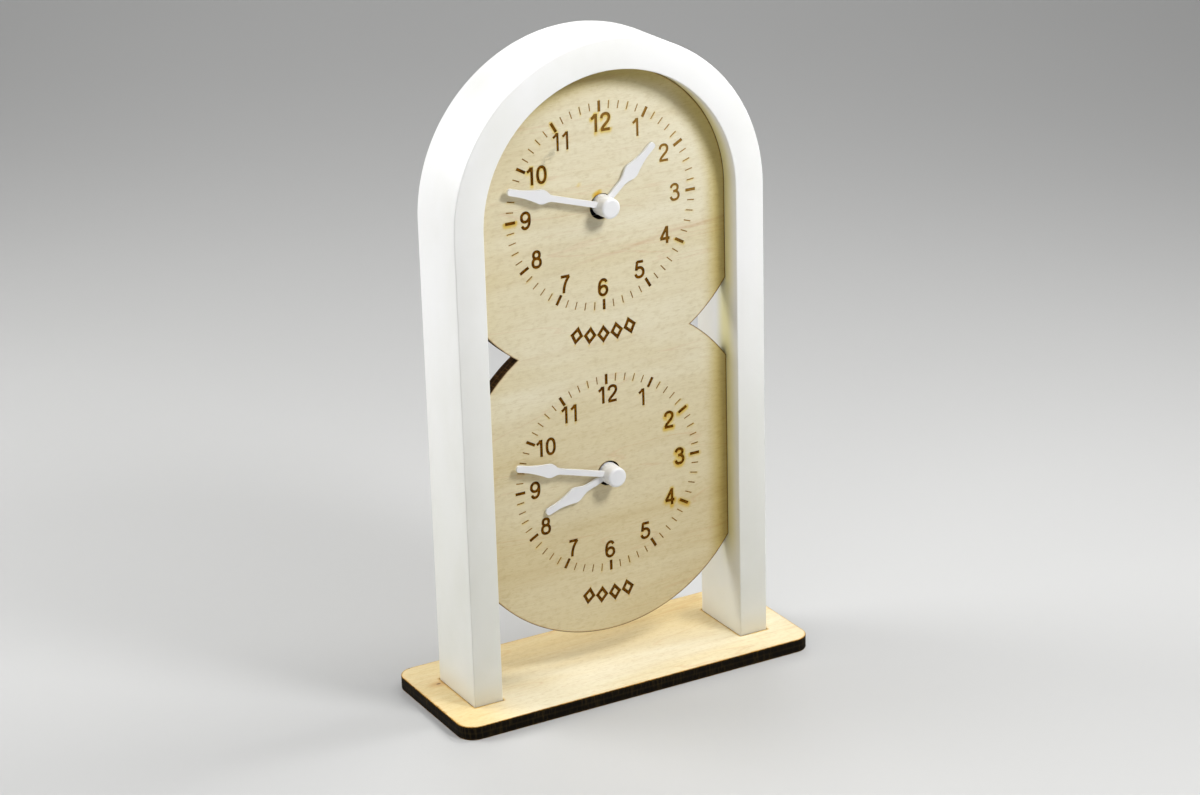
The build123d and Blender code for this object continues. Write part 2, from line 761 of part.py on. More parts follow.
def build_hub_cap(clock):
    """Round cap over the end of the minute arbor."""
    back = dial_depth - minute_hand_reach
    front = dial_depth - cap_reach
    with BuildPart() as cap:
        extrude(disc(clock.plane(axis, back), cap_radius), amount=back - front)
        chamfer(cap.edges().sort_by(Axis.Y)[0], cap_edge)
        extrude(bearing(clock.plane(axis, back), minute_arbor_radius + push_gap),
                amount=arbor_reach - minute_hand_reach + seat_gap, mode=Mode.SUBTRACT)
    return cap


def save(piece, name):
    """Label a piece and write it as its own file."""
    piece.part.label = name
    export_step(piece.part, f"parts/{name}.step")


stand_makers = {
    "base_plate": build_base_plate,
    "arch_frame": build_arch_frame,
    "dial_panel": build_dial_panel,
}
movement_makers = {
    "fixing_pad": build_fixing_pad,
    "movement_case": build_movement_case,
    "movement_cover": build_movement_cover,
    "middle_plate": build_middle_plate,
    "shaft_bush": build_shaft_bush,
    "hour_wheel": build_hour_wheel,
    "cannon_pinion": build_cannon_pinion,
    "minute_wheel": build_minute_wheel,
    "setting_knob": build_setting_knob,
    "centre_wheel": build_centre_wheel,
    "third_wheel": build_third_wheel,
    "second_wheel": build_second_wheel,
    "intermediate_wheel": build_intermediate_wheel,
    "rotor": build_rotor,
    "stator": build_stator,
    "coil": build_coil,
    "circuit_board": build_circuit_board,
    "quartz_crystal": build_quartz_crystal,
    "battery": build_battery,
    "positive_contact": build_positive_contact,
    "negative_contact": build_negative_contact,
    "hour_hand": build_hour_hand,
    "minute_hand": build_minute_hand,
    "hub_cap": build_hub_cap,
}

os.makedirs("parts", exist_ok=True)
for name, build in stand_makers.items():
    save(build(), name)
for clock in clocks:
    for name, build in movement_makers.items():
        save(build(clock), f"{clock.name}_{name}")
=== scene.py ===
"""Looks of the world time clock: two plywood dials in a white arch on a plywood base."""

import json
import logging
import math
from dataclasses import dataclass
from enum import Enum
from typing import Callable, Iterable, Sequence

import bmesh
import bpy
import numpy as np
from mathutils import Matrix, Vector


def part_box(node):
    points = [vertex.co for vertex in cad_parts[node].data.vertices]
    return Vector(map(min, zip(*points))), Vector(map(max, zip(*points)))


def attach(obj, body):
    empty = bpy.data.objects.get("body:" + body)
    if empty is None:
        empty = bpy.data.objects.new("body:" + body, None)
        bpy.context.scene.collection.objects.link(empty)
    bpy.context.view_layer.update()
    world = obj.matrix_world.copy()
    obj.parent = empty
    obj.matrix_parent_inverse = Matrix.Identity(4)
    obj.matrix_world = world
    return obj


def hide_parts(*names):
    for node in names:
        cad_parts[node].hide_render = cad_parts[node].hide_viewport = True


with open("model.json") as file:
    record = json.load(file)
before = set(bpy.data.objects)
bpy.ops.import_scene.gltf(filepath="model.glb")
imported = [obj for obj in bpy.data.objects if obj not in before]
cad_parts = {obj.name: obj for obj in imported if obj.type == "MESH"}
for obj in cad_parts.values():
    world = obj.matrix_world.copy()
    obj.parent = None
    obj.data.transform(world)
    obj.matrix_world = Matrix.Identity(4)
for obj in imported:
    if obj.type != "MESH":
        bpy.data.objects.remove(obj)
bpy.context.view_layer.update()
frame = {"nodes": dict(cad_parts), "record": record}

log = logging.getLogger("world_time_clock")

MM = 0.001
BOARD = 6.35
DIAL_CENTRES = (222.25, 98.15)
LOBE_RADIUS = 75.8
PANEL_HALF_WIDTH = 62.0
Point = tuple[float, float]
Place = tuple[float, float, float]
Smoke = list[tuple[np.ndarray, float]]


def mm(*lengths: float) -> Vector:
    """Turn lengths in millimetres into a vector in metres."""
    return Vector([length * MM for length in lengths])


def tone(code: str) -> tuple[float, float, float, float]:
    """Turn a six-digit screen colour into the linear colour that a shader takes."""
    parts = [int(code[at : at + 2], 16) / 255 for at in (0, 2, 4)]
    linear = [((part + 0.055) / 1.055) ** 2.4 if part > 0.04045 else part / 12.92 for part in parts]
    return (linear[0], linear[1], linear[2], 1.0)


# Shaders ---------------------------------------------------------------------


class Wire:
    """A value that flows through a material, with ordinary arithmetic on it."""

    def __init__(self, recipe: "Recipe", socket: bpy.types.NodeSocket) -> None:
        """Keep the recipe and the socket that the value comes out of."""
        self.recipe = recipe
        self.socket = socket

    def math(self, operation: str, *others: "Wire | float", first: "float | None" = None) -> "Wire":
        """Join this value to others through one Math node.

        Args:
            operation: The node's operation.
            others: What follows this value.
            first: A number that comes before this value.

        Returns:
            The node's result.
        """
        values = ([first] if first is not None else []) + [self, *others]
        node = self.recipe.node("ShaderNodeMath", {"operation": operation}, dict(enumerate(values)))
        return Wire(self.recipe, node.outputs[0])

    def __add__(self, other: "Wire | float") -> "Wire":
        """Add a value or a number."""
        return self.math("ADD", other)

    def __radd__(self, other: float) -> "Wire":
        """Add this to a number."""
        return self.math("ADD", first=other)

    def __sub__(self, other: "Wire | float") -> "Wire":
        """Take a value or a number away."""
        return self.math("SUBTRACT", other)

    def __rsub__(self, other: float) -> "Wire":
        """Take this away from a number."""
        return self.math("SUBTRACT", first=other)

    def __mul__(self, other: "Wire | float") -> "Wire":
        """Multiply by a value or a number."""
        return self.math("MULTIPLY", other)

    def __rmul__(self, other: float) -> "Wire":
        """Multiply a number by this."""
        return self.math("MULTIPLY", first=other)

    def __truediv__(self, other: "Wire | float") -> "Wire":
        """Divide by a value or a number."""
        return self.math("DIVIDE", other)

    def __rtruediv__(self, other: float) -> "Wire":
        """Divide a number by this."""
        return self.math("DIVIDE", first=other)

    def __abs__(self) -> "Wire":
        """The size of the value without its sign."""
        return self.math("ABSOLUTE")

    def wave(self) -> "Wire":
        """A sine that repeats each time the value has grown by two."""
        return (self * math.pi).math("SINE")

    def lower(self, other: "Wire | float") -> "Wire":
        """The smaller of two values."""
        return self.math("MINIMUM", other)

    def higher(self, other: "Wire | float") -> "Wire":
        """The larger of two values."""
        return self.math("MAXIMUM", other)

    def ramp(self, start: float, end: float) -> "Wire":
        """Rise softly from 0 to 1 between two values, or fall if the start is the larger.

        Args:
            start: Where the result is 0.
            end: Where the result is 1.

        Returns:
            The eased share.
        """
        node = self.recipe.node(
            "ShaderNodeMapRange",
            {"interpolation_type": "SMOOTHSTEP"},
            {"Value": self, "From Min": min(start, end), "From Max": max(start, end)},
        )
        share = Wire(self.recipe, node.outputs["Result"])
        return share if end > start else 1.0 - share


class Recipe:
    """A material while its nodes are being joined up."""

    def __init__(self, name: str) -> None:
        """Start a material with one shader and nothing joined to it."""
        self.material = bpy.data.materials.new(name)
        self.material.use_nodes = True
        self.nodes = self.material.node_tree.nodes
        self.links = self.material.node_tree.links
        self.nodes.clear()
        self.shader = self.node("ShaderNodeBsdfPrincipled")
        self.node("ShaderNodeOutputMaterial", {}, {"Surface": self.shader.outputs[0]})
        self.object_coordinates = self.node("ShaderNodeTexCoord").outputs["Object"]

    def feed(self, socket: bpy.types.NodeSocket, value: object) -> None:
        """Give a socket what it takes.

        Args:
            socket: The socket.
            value: A wire, another socket, a colour's code, a number or numbers.
        """
        if isinstance(value, Wire):
            value = value.socket
        if isinstance(value, bpy.types.NodeSocket):
            self.links.new(value, socket)
        else:
            socket.default_value = tone(value) if isinstance(value, str) else value

    def node(self, kind: str, settings: dict | None = None, inputs: dict | None = None) -> bpy.types.Node:
        """Make a node, set its options and then its sockets.

        Args:
            kind: Blender's name for the kind of node.
            settings: Options, which may change the sockets.
            inputs: What each socket gets, by its name or number.

        Returns:
            The new node.
        """
        node = self.nodes.new(kind)
        for option, choice in (settings or {}).items():
            setattr(node, option, choice)
        for key, value in (inputs or {}).items():
            self.feed(node.inputs[key], value)
        return node

    def place(self, stretch: "float | Sequence[float]", turn: Sequence[float] = (0, 0, 0)) -> Wire:
        """Object coordinates, turned and then multiplied.

        Args:
            stretch: Features per metre, alike or along each axis.
            turn: Angles about the three axes, in degrees.

        Returns:
            The coordinates as a vector.
        """
        angles = [math.radians(angle) for angle in turn]
        each = stretch if isinstance(stretch, (tuple, list)) else (stretch,) * 3
        turned = self.node("ShaderNodeMapping", {}, {"Vector": self.object_coordinates, "Rotation": angles})
        scaled = self.node("ShaderNodeMapping", {}, {"Vector": turned.outputs[0], "Scale": each})
        return Wire(self, scaled.outputs[0])

    def axes(self) -> list[Wire]:
        """The three object coordinates in millimetres."""
        split = self.node("ShaderNodeSeparateXYZ", {}, {0: self.place(1 / MM)})
        return [Wire(self, output) for output in split.outputs]

    def noise(self, at: Wire, detail: float, rough: float, swirl: float = 0.0) -> Wire:
        """Cloudy variation about one half.

        Args:
            at: Coordinates, one feature a unit.
            detail: How many finer layers there are.
            rough: How strong the finer layers are.
            swirl: How much the pattern is twisted.

        Returns:
            A value from 0 to 1.
        """
        inputs = {"Vector": at, "Scale": 1.0, "Detail": detail, "Roughness": rough, "Distortion": swirl}
        return Wire(self, self.node("ShaderNodeTexNoise", {}, inputs).outputs[0])

    def cloud(self, stretch: "float | Sequence[float]", detail: float, rough: float) -> Wire:
        """Noise with so many features a metre, alike or along each axis."""
        return self.noise(self.place(stretch), detail, rough)

    def cells(self, stretch: float) -> Wire:
        """Distance to the nearest of many scattered points, so many a metre."""
        inputs = {"Vector": self.place(stretch), "Scale": 1.0}
        return Wire(self, self.node("ShaderNodeTexVoronoi", {}, inputs).outputs["Distance"])

    def attribute(self, name: str) -> Wire:
        """A value that was worked out for each vertex."""
        settings = {"attribute_name": name, "attribute_type": "GEOMETRY"}
        return Wire(self, self.node("ShaderNodeAttribute", settings).outputs["Fac"])

    def length(self, *parts: Wire) -> Wire:
        """Length of a vector with these parts."""
        total = sum((part * part for part in parts[1:]), parts[0] * parts[0])
        return total.math("SQRT")

    def mix(self, share: "Wire | float", low: "Wire | str", high: "Wire | str", blend: str = "MIX") -> Wire:
        """Blend two colours.

        Args:
            share: 0 for the low colour, 1 for the high one.
            low: The first colour, as a wire or a code.
            high: The second colour.
            blend: How the second one is laid over the first.

        Returns:
            The blended colour.
        """
        settings = {"data_type": "RGBA", "blend_type": blend}
        return Wire(self, self.node("ShaderNodeMix", settings, {0: share, 6: low, 7: high}).outputs[2])

    def tint(self, colour: Wire, *layers: "tuple[Wire | float, str]") -> Wire:
        """Multiply a colour by others in turn.

        Args:
            colour: What is tinted.
            layers: How strongly, and by which colour.

        Returns:
            The tinted colour.
        """
        for share, code in layers:
            colour = self.mix(share, colour, code, "MULTIPLY")
        return colour

    def relief(self, height: Wire, depth: float, strength: float) -> None:
        """Let a height shape the light on the surface.

        Args:
            height: The relief, about 0 to 1.
            depth: How high 1 stands, in millimetres.
            strength: How far the relief shows.
        """
        inputs = {"Height": height, "Distance": depth * MM, "Strength": strength}
        self.feed(self.shader.inputs["Normal"], self.node("ShaderNodeBump", {}, inputs).outputs[0])

    def surface(self, colour: Wire, roughness: "Wire | float", **constants: float) -> None:
        """Set what the shader shows.

        Args:
            colour: Its base colour.
            roughness: How matt it is.
            constants: Other sockets by name, with an underscore for each blank.
        """
        for name, value in {"Base_Color": colour, "Roughness": roughness, **constants}.items():
            self.feed(self.shader.inputs[name.replace("_", " ")], value)


# Finishes --------------------------------------------------------------------


@dataclass(frozen=True)
class Finish:
    """What a surface is made of."""

    name: str

    def paint(self, recipe: Recipe) -> None:
        """Join up the nodes of this finish."""
        raise NotImplementedError

    def make(self) -> bpy.types.Material:
        """The finish as a material, made once."""
        found = bpy.data.materials.get(self.name)
        if found is None:
            recipe = Recipe(self.name)
            self.paint(recipe)
            found = recipe.material
        return found


@dataclass(frozen=True)
class BirchVeneer(Finish):
    """Pale rotary-cut veneer, with its grain along X."""

    pale: str
    warm: str
    streak: str
    tilt: float = 0.0
    sheen: float = 0.32

    def grain(self, recipe: Recipe, along: float, over: float, *texture: float) -> Wire:
        """Noise drawn out along the grain.

        Args:
            recipe: The material that it is made in.
            along: Features a metre along the grain.
            over: Features a metre across it.
            texture: Detail, roughness and swirl of the noise.

        Returns:
            A value from 0 to 1.
        """
        return recipe.noise(recipe.place((along, over, over), (0, self.tilt, 0)), *texture)

    def wood(self, recipe: Recipe) -> tuple[Wire, Wire]:
        """Colour and relief of the bare wood.

        Args:
            recipe: The material that they are made in.

        Returns:
            The colour, and the relief from 0 to 1.
        """
        broad = self.grain(recipe, 5, 30, 3, 0.5, 0.6)
        bands = self.grain(recipe, 9, 170, 4, 0.6, 0.3)
        fibres = self.grain(recipe, 160, 2100, 3, 0.65)
        pores = self.grain(recipe, 520, 3300, 2, 0.6).ramp(0.63, 0.75)
        mottle = self.grain(recipe, 330, 620, 3, 0.65)
        rings = abs(self.grain(recipe, 6, 62, 2, 0.45, 1.2) - 0.53).ramp(0.014, 0.0) * broad.ramp(0.32, 0.6)
        colour = recipe.mix(broad.ramp(0.3, 0.72), self.pale, self.warm)
        colour = recipe.tint(colour, (bands.ramp(0.46, 0.8) * 0.22, "dcc7a0"))
        colour = recipe.tint(
            recipe.mix(rings * 0.24, colour, self.streak),
            (fibres.ramp(0.42, 0.75) * 0.22, "d2bf98"),
            (mottle.ramp(0.45, 0.75) * 0.26, "d4c6a2"),
            (pores * 0.34, "ab9366"),
        )
        return colour, fibres * 0.7 + bands * 0.3 - pores * 0.6

    def paint(self, recipe: Recipe) -> None:
        """Join up the nodes of this finish."""
        colour, height = self.wood(recipe)
        recipe.surface(colour, 0.58, Specular_IOR_Level=self.sheen)
        recipe.relief(height, 0.05, 0.5)


@dataclass(frozen=True)
class DialVeneer(BirchVeneer):
    """The dials' face: veneer with the burner's smoke round each mark and edge, painted shade of the arch
    along its top and right side, and painted shade towards the bottom.
    """

    lobe_radius: float = LOBE_RADIUS
    half_width: float = PANEL_HALF_WIDTH
    centres: Point = DIAL_CENTRES
    # painted shade: colour of the arch's shadow on the panel's top and right side
    shade: str = "d2c47c"
    # painted shade: darker and warmer towards the bottom of the panel
    low_light: str = "ecdfbd"
    fingermark: str = "9b9a94"
    red_grain: str = "d8a080"
    thin_smoke: str = "f8e272"
    smoke: str = "f3cd4c"
    tar: str = "b4820f"
    singed: str = "dcae52"
    charred: str = "3c2710"

    def paint(self, recipe: Recipe) -> None:
        """Join up the nodes of this finish."""
        colour, height = self.wood(recipe)
        across, _, up = recipe.axes()
        above = up - self.centres[0]
        beside_frame = self.half_width - recipe.length(across, above.higher(0.0))
        lobes = [self.lobe_radius - recipe.length(across, up - centre) for centre in self.centres]
        inward = lobes[0].higher(lobes[1]).lower(beside_frame)
        # sides of the panel that lie in the arch's shadow, for the painted shade below
        shaded_side = across.ramp(5.0, 52.0).higher(above.ramp(28.0, 60.0))
        mark_x, mark_z = across + 25.0, above - 26.0
        mark = abs(mark_x * 0.62 - mark_z * 0.78).ramp(2.6, 0.0)
        mark = mark * abs(mark_x * 0.78 + mark_z * 0.62).ramp(8.5, 0.5)
        wander = recipe.cloud(22, 2, 0.5) * 6.0
        red = abs(above + 22.5 + across * -0.12 + wander - 3.0).ramp(1.3, 0.0)
        patchy = recipe.cloud(260, 3, 0.6)
        smoke = recipe.attribute("smoke") * (0.4 + patchy * 1.2)
        colour = recipe.tint(
            colour,
            # painted shade: the arch's shadow along the panel's top and right side
            (beside_frame.ramp(13.0, 3.0) * shaded_side * 0.85, self.shade),
            # painted shade: darker and warmer towards the bottom, where less light falls
            (up.ramp(170.0, 20.0) * 0.65, self.low_light),
            (mark * recipe.cloud(420, 3, 0.7).ramp(0.38, 0.62) * 0.5, self.fingermark),
            (red * 0.2 * across.ramp(-30.0, 10.0), self.red_grain),
            (smoke.ramp(0.03, 0.5) * 0.85, self.thin_smoke),
            (smoke.ramp(0.4, 1.0) * 0.85, self.smoke),
        )
        rim = inward + (patchy - 0.5) * 0.35
        colour = recipe.mix(smoke.ramp(0.85, 1.5) * 0.4, colour, self.tar)
        colour = recipe.tint(colour, (rim.ramp(0.9, 0.3) * 0.5, self.singed))
        colour = recipe.mix(rim.ramp(0.42, 0.2) * 0.75, colour, self.charred)
        recipe.surface(colour, 0.56, Specular_IOR_Level=self.sheen)
        recipe.relief(height, 0.045, 0.5)


@dataclass(frozen=True)
class BaseVeneer(BirchVeneer):
    """The base's faces: veneer with a scorched rim, a knot, burnt lines round the feet with painted contact
    shade in them, and painted shade towards the back.
    """

    half: Point = (90.0, 35.0)
    corner: float = 8.0
    foot_centre: float = 69.15
    foot_half: Point = (7.05, 17.35)
    knot_centre: Point = (-79.0, 13.0)

    def from_rim(self, recipe: Recipe, across: Wire, deep: Wire) -> Wire:
        """Distance in millimetres from a point of the face to the base's outline.

        Args:
            recipe: The material that it is made in.
            across: The point's first coordinate.
            deep: Its second coordinate.

        Returns:
            The distance, which grows inwards.
        """
        past_x = abs(across) - (self.half[0] - self.corner)
        past_y = abs(deep) - (self.half[1] - self.corner)
        outside = recipe.length(past_x.higher(0.0), past_y.higher(0.0))
        return self.corner - outside - past_x.higher(past_y).lower(0.0)

    def paint(self, recipe: Recipe) -> None:
        """Join up the nodes of this finish."""
        colour, height = self.wood(recipe)
        across, deep, _ = recipe.axes()
        patchy = recipe.cloud(180, 3, 0.65)
        fine = recipe.cloud(900, 2, 0.6)
        rim = self.from_rim(recipe, across, deep)
        # painted shade: warmer and darker towards the back, where the panel shades the base; also warmer
        # towards the left end
        worn = deep.ramp(-24.0, 16.0).higher(across.ramp(-50.0, -82.0))
        scorch = (rim + (0.5 - patchy) * 2.4).ramp(1.1, 0.0)
        nicks = (rim + (0.5 - fine) * 2.6).ramp(0.45, 0.1) * patchy.ramp(0.5, 0.62)
        nicks = nicks * across.ramp(-40.0, -75.0)
        past_x = abs(abs(across) - self.foot_centre) - self.foot_half[0]
        past_y = abs(deep) - self.foot_half[1]
        from_foot = recipe.length(past_x.higher(0.0), past_y.higher(0.0))
        # burnt kerf line round each foot, partly painted contact shade where the leg meets the base
        line = (from_foot + (fine - 0.5) * 0.5).ramp(0.75, 0.25)
        knot = recipe.length((across - self.knot_centre[0]) * 0.8, (deep - self.knot_centre[1]) * 1.7)
        knot = knot + (patchy - 0.5) * 1.6
        # painted shade towards the back and left end of the base
        colour = recipe.tint(colour, (worn * 0.75, "fbe9bd"), (scorch * 0.75, "ecca7c"))
        colour = recipe.mix(nicks, colour, "2a1a0a")
        colour = recipe.tint(colour, ((from_foot + (patchy - 0.5) * 1.4).ramp(1.7, 0.3) * 0.75, "e6c468"))
        # burnt line with painted contact shade round the feet
        colour = recipe.mix(line * 0.85, colour, recipe.mix(patchy.ramp(0.45, 0.6), "a8822c", "5e400f"))
        colour = recipe.tint(colour, (knot.ramp(6.5, 1.0) * 0.5, "d9a860"))
        colour = recipe.mix(knot.ramp(1.25, 0.4) * 0.85, colour, "5b3413")
        recipe.surface(colour, 0.54, Specular_IOR_Level=0.34)
        recipe.relief(height, 0.045, 0.5)


class Plies(Enum):
    """Which way a board's plies are stacked, as the number of the axis."""

    UP = 2
    BACK = 1


@dataclass(frozen=True)
class BurntEdge(Finish):
    """Edge of plywood as the laser leaves it, charred over its plies."""

    stacked: Plies = Plies.UP
    first: float = 0.0
    char: str = "090502"
    brown: str = "30260f"
    plies: int = 5

    def paint(self, recipe: Recipe) -> None:
        """Join up the nodes of this finish."""
        stack = self.stacked.value
        share = (recipe.axes()[stack] - self.first) / BOARD
        fine = [1100.0] * 3
        fine[stack] = 160.0
        drawn = recipe.cloud(fine, 3, 0.6)
        cloudy = recipe.cloud(120, 3, 0.6)
        ply = (share * self.plies + (cloudy - 0.5) * 0.35).wave()
        colour = recipe.mix(ply.ramp(0.1, 0.8) * 0.3 + drawn.ramp(0.48, 0.68) * 0.65, self.char, self.brown)
        colour = recipe.mix(cloudy.ramp(0.58, 0.75) * 0.2, colour, "4a3a18")
        recipe.surface(colour, 0.8, Specular_IOR_Level=0.1)
        recipe.relief(drawn * 0.7 + ply * 0.3, 0.12, 0.8)


@dataclass(frozen=True)
class EngravedBurn(Finish):
    """Floor and walls of an engraved mark, lighter to the upper right of the upper dial."""

    dark: str = "3c1f02"
    light: str = "80500c"
    faded: str = "a27c3a"

    def paint(self, recipe: Recipe) -> None:
        """Join up the nodes of this finish."""
        lines = recipe.cloud((300, 300, 7000), 2, 0.5)
        cloudy = recipe.cloud(900, 3, 0.6)
        across, _, up = recipe.axes()
        # lighter marks towards the upper right of the upper dial
        toward_upper_right = (across * 0.8 + (up - DIAL_CENTRES[0]) * 0.6).ramp(-5.0, 42.0)
        burnt = recipe.mix(cloudy.ramp(0.35, 0.65) * 0.75 + lines * 0.25, self.dark, self.light)
        recipe.surface(recipe.mix(toward_upper_right * 0.68, burnt, self.faded), 0.85, Specular_IOR_Level=0.06)
        recipe.relief(lines * 0.5 + cloudy * 0.5, 0.08, 0.8)


@dataclass(frozen=True)
class SatinPaint(Finish):
    """Smooth white paint over wood, with the grain just showing through, painted shade towards the bottom and
    a painted reflection of the dial's yellow on the inner face beside it.
    """

    colour: str = "efefee"
    shade: str = "e7e7e2"
    near_foot: str = "efe2c4"
    # painted shade: darker towards the bottom of the legs
    low_light: str = "e5e5da"
    # painted reflection: the veneer's yellow bounced onto the arch's inner face
    beside_dial: str = "f7eca2"
    inner_half: float = 62.1

    def paint(self, recipe: Recipe) -> None:
        """Join up the nodes of this finish."""
        cloudy = recipe.cloud((28, 28, 16), 4, 0.55)
        drawn = recipe.cloud((900, 900, 40), 3, 0.6)
        peel = recipe.cloud(650, 2, 0.5)
        across, deep, up = recipe.axes()
        radius = recipe.length(across, (up - DIAL_CENTRES[0]).higher(0.0))
        inner_face = radius.ramp(self.inner_half + 0.9, self.inner_half + 0.1) * deep.ramp(-17.0, -8.0)
        colour = recipe.tint(
            recipe.mix(cloudy.ramp(0.35, 0.75) * 0.7, self.colour, self.shade),
            ((up + (cloudy - 0.5) * 14.0).ramp(20.0, BOARD) * 0.35, self.near_foot),
            # painted shade: darker towards the bottom of the legs, where less light falls
            (up.ramp(200.0, 40.0) * 0.6, self.low_light),
            # painted reflection: the dial's yellow on the arch's inner face near the panel
            (inner_face * deep.ramp(2.0, -6.0) * up.ramp(30.0, 60.0) * 0.85, self.beside_dial),
        )
        recipe.surface(colour, 0.36 + cloudy * 0.12, Coat_Weight=0.12, Coat_Roughness=0.3)
        recipe.relief(drawn * 0.6 + peel * 0.4, 0.02, 0.35)


@dataclass(frozen=True)
class MouldedPlastic(Finish):
    """Injection-moulded plastic with a fine sparked texture."""

    colour: str = "16171a"
    worn: str = "26272a"
    roughness: float = 0.48
    grain: float = 1400.0
    depth: float = 0.02

    def paint(self, recipe: Recipe) -> None:
        """Join up the nodes of this finish."""
        spark = recipe.cloud(self.grain, 3, 0.65)
        flow = recipe.cloud(60, 3, 0.5)
        share = flow.ramp(0.4, 0.8) * 0.6 + spark.ramp(0.55, 0.8) * 0.2
        recipe.surface(recipe.mix(share, self.colour, self.worn), self.roughness + (flow - 0.5) * 0.15)
        recipe.relief(spark, self.depth, 0.5)


@dataclass(frozen=True)
class TurnedMetal(Finish):
    """Plain or plated metal with fine tool marks."""

    colour: str = "c9a24e"
    dull: str = "9a7a3a"
    roughness: float = 0.3
    marks: Place = (300, 5200, 300)

    def paint(self, recipe: Recipe) -> None:
        """Join up the nodes of this finish."""
        stain = recipe.cloud(150, 3, 0.6)
        colour = recipe.mix(stain.ramp(0.45, 0.8) * 0.6, self.colour, self.dull)
        recipe.surface(colour, self.roughness + stain * 0.2, Metallic=1.0)
        recipe.relief(recipe.cloud(self.marks, 3, 0.6), 0.01, 0.4)


@dataclass(frozen=True)
class CopperWinding(Finish):
    """Enamelled wire wound side by side along X."""

    pitch: float = 0.25
    wire: str = "b5602c"
    gap: str = "4a1f0e"

    def paint(self, recipe: Recipe) -> None:
        """Join up the nodes of this finish."""
        across, _, _ = recipe.axes()
        turns = abs((across / self.pitch + recipe.cloud((400, 60, 60), 2, 0.5) * 0.8).wave())
        recipe.surface(recipe.mix(turns.ramp(0.05, 0.5), self.gap, self.wire), 0.35, Metallic=0.7)
        recipe.relief(turns, 0.1, 0.9)


@dataclass(frozen=True)
class BoardLaminate(Finish):
    """Green circuit laminate with faint copper tracks under the lacquer."""

    lacquer: str = "1d5a35"
    track: str = "3a8052"

    def paint(self, recipe: Recipe) -> None:
        """Join up the nodes of this finish."""
        across, _, up = recipe.axes()
        lanes = abs((across * 2.1).math("SINE")).ramp(0.78, 0.9) * abs((up * 0.9).math("SINE")).ramp(0.1, 0.3)
        weave = recipe.cloud(1800, 2, 0.5)
        colour = recipe.mix(lanes * 0.7, self.lacquer, self.track)
        recipe.surface(recipe.tint(colour, (weave.ramp(0.5, 0.7) * 0.3, "7f9f86")), 0.38)
        recipe.relief(lanes * 0.6 + weave * 0.4, 0.04, 0.6)


@dataclass(frozen=True)
class CellWrap(Finish):
    """Shrunk sleeve of a dry cell, with a band near its positive end."""

    body: str = "474e57"
    band: str = "c4c6c4"
    band_from: float = 11.0

    def paint(self, recipe: Recipe) -> None:
        """Join up the nodes of this finish."""
        across, _, _ = recipe.axes()
        colour = recipe.mix(across.ramp(self.band_from, self.band_from + 0.15), self.body, self.band)
        scuff = recipe.cloud((400, 90, 90), 3, 0.7).ramp(0.62, 0.75)
        recipe.surface(recipe.tint(colour, (scuff * 0.2, "909090")), 0.3 + scuff * 0.25, Metallic=0.35)
        recipe.relief(recipe.cloud((60, 700, 700), 3, 0.5), 0.03, 0.4)


@dataclass(frozen=True)
class TapeFoam(Finish):
    """Closed-cell foam tape."""

    colour: str = "dcd9cf"
    pit: str = "b4b0a3"

    def paint(self, recipe: Recipe) -> None:
        """Join up the nodes of this finish."""
        pits = recipe.cells(2300)
        recipe.surface(recipe.mix(pits.ramp(0.5, 0.1) * 0.5, self.colour, self.pit), 0.85)
        recipe.relief(pits, 0.12, 0.7)


@dataclass(frozen=True)
class StudioFloor(Finish):
    """Plain pale sheet that the clock stands on."""

    colour: str = "b6b6b5"
    soft: str = "adadac"

    def paint(self, recipe: Recipe) -> None:
        """Join up the nodes of this finish."""
        recipe.surface(recipe.mix(recipe.cloud(3, 2, 0.5) * 0.3, self.colour, self.soft), 0.6)


FINISHES: dict[str, Finish] = {
    "foam_tape": TapeFoam("tape_foam"),
    "black_plastic": MouldedPlastic("black_moulded_plastic"),
    "grey_plastic": MouldedPlastic("grey_moulded_plastic", "8b8d8e", "a1a3a3", 0.5),
    "brass": TurnedMetal("turned_brass"),
    "gear_plastic": MouldedPlastic("acetal_wheels", "d8d6cc", "e6e4da", 0.35, 900.0, 0.01),
    "magnet": TurnedMetal("sintered_magnet", "4a4b50", "333438", 0.45, (900, 900, 900)),
    "soft_iron": TurnedMetal("soft_iron_plate", "9b9a96", "7d7b76", 0.38, (120, 120, 4200)),
    "copper_wire": CopperWinding("copper_winding"),
    "circuit_laminate": BoardLaminate("board_laminate"),
    "nickel_plate": TurnedMetal("nickel_plating", "c9c6bd", "aaa79e", 0.22, (260, 260, 3600)),
    "battery_wrap": CellWrap("cell_wrap"),
    "white_plastic": MouldedPlastic("white_hand_enamel", "e5e5e6", "dcdcdf", 0.34, 500.0, 0.006),
}


# Bench -----------------------------------------------------------------------


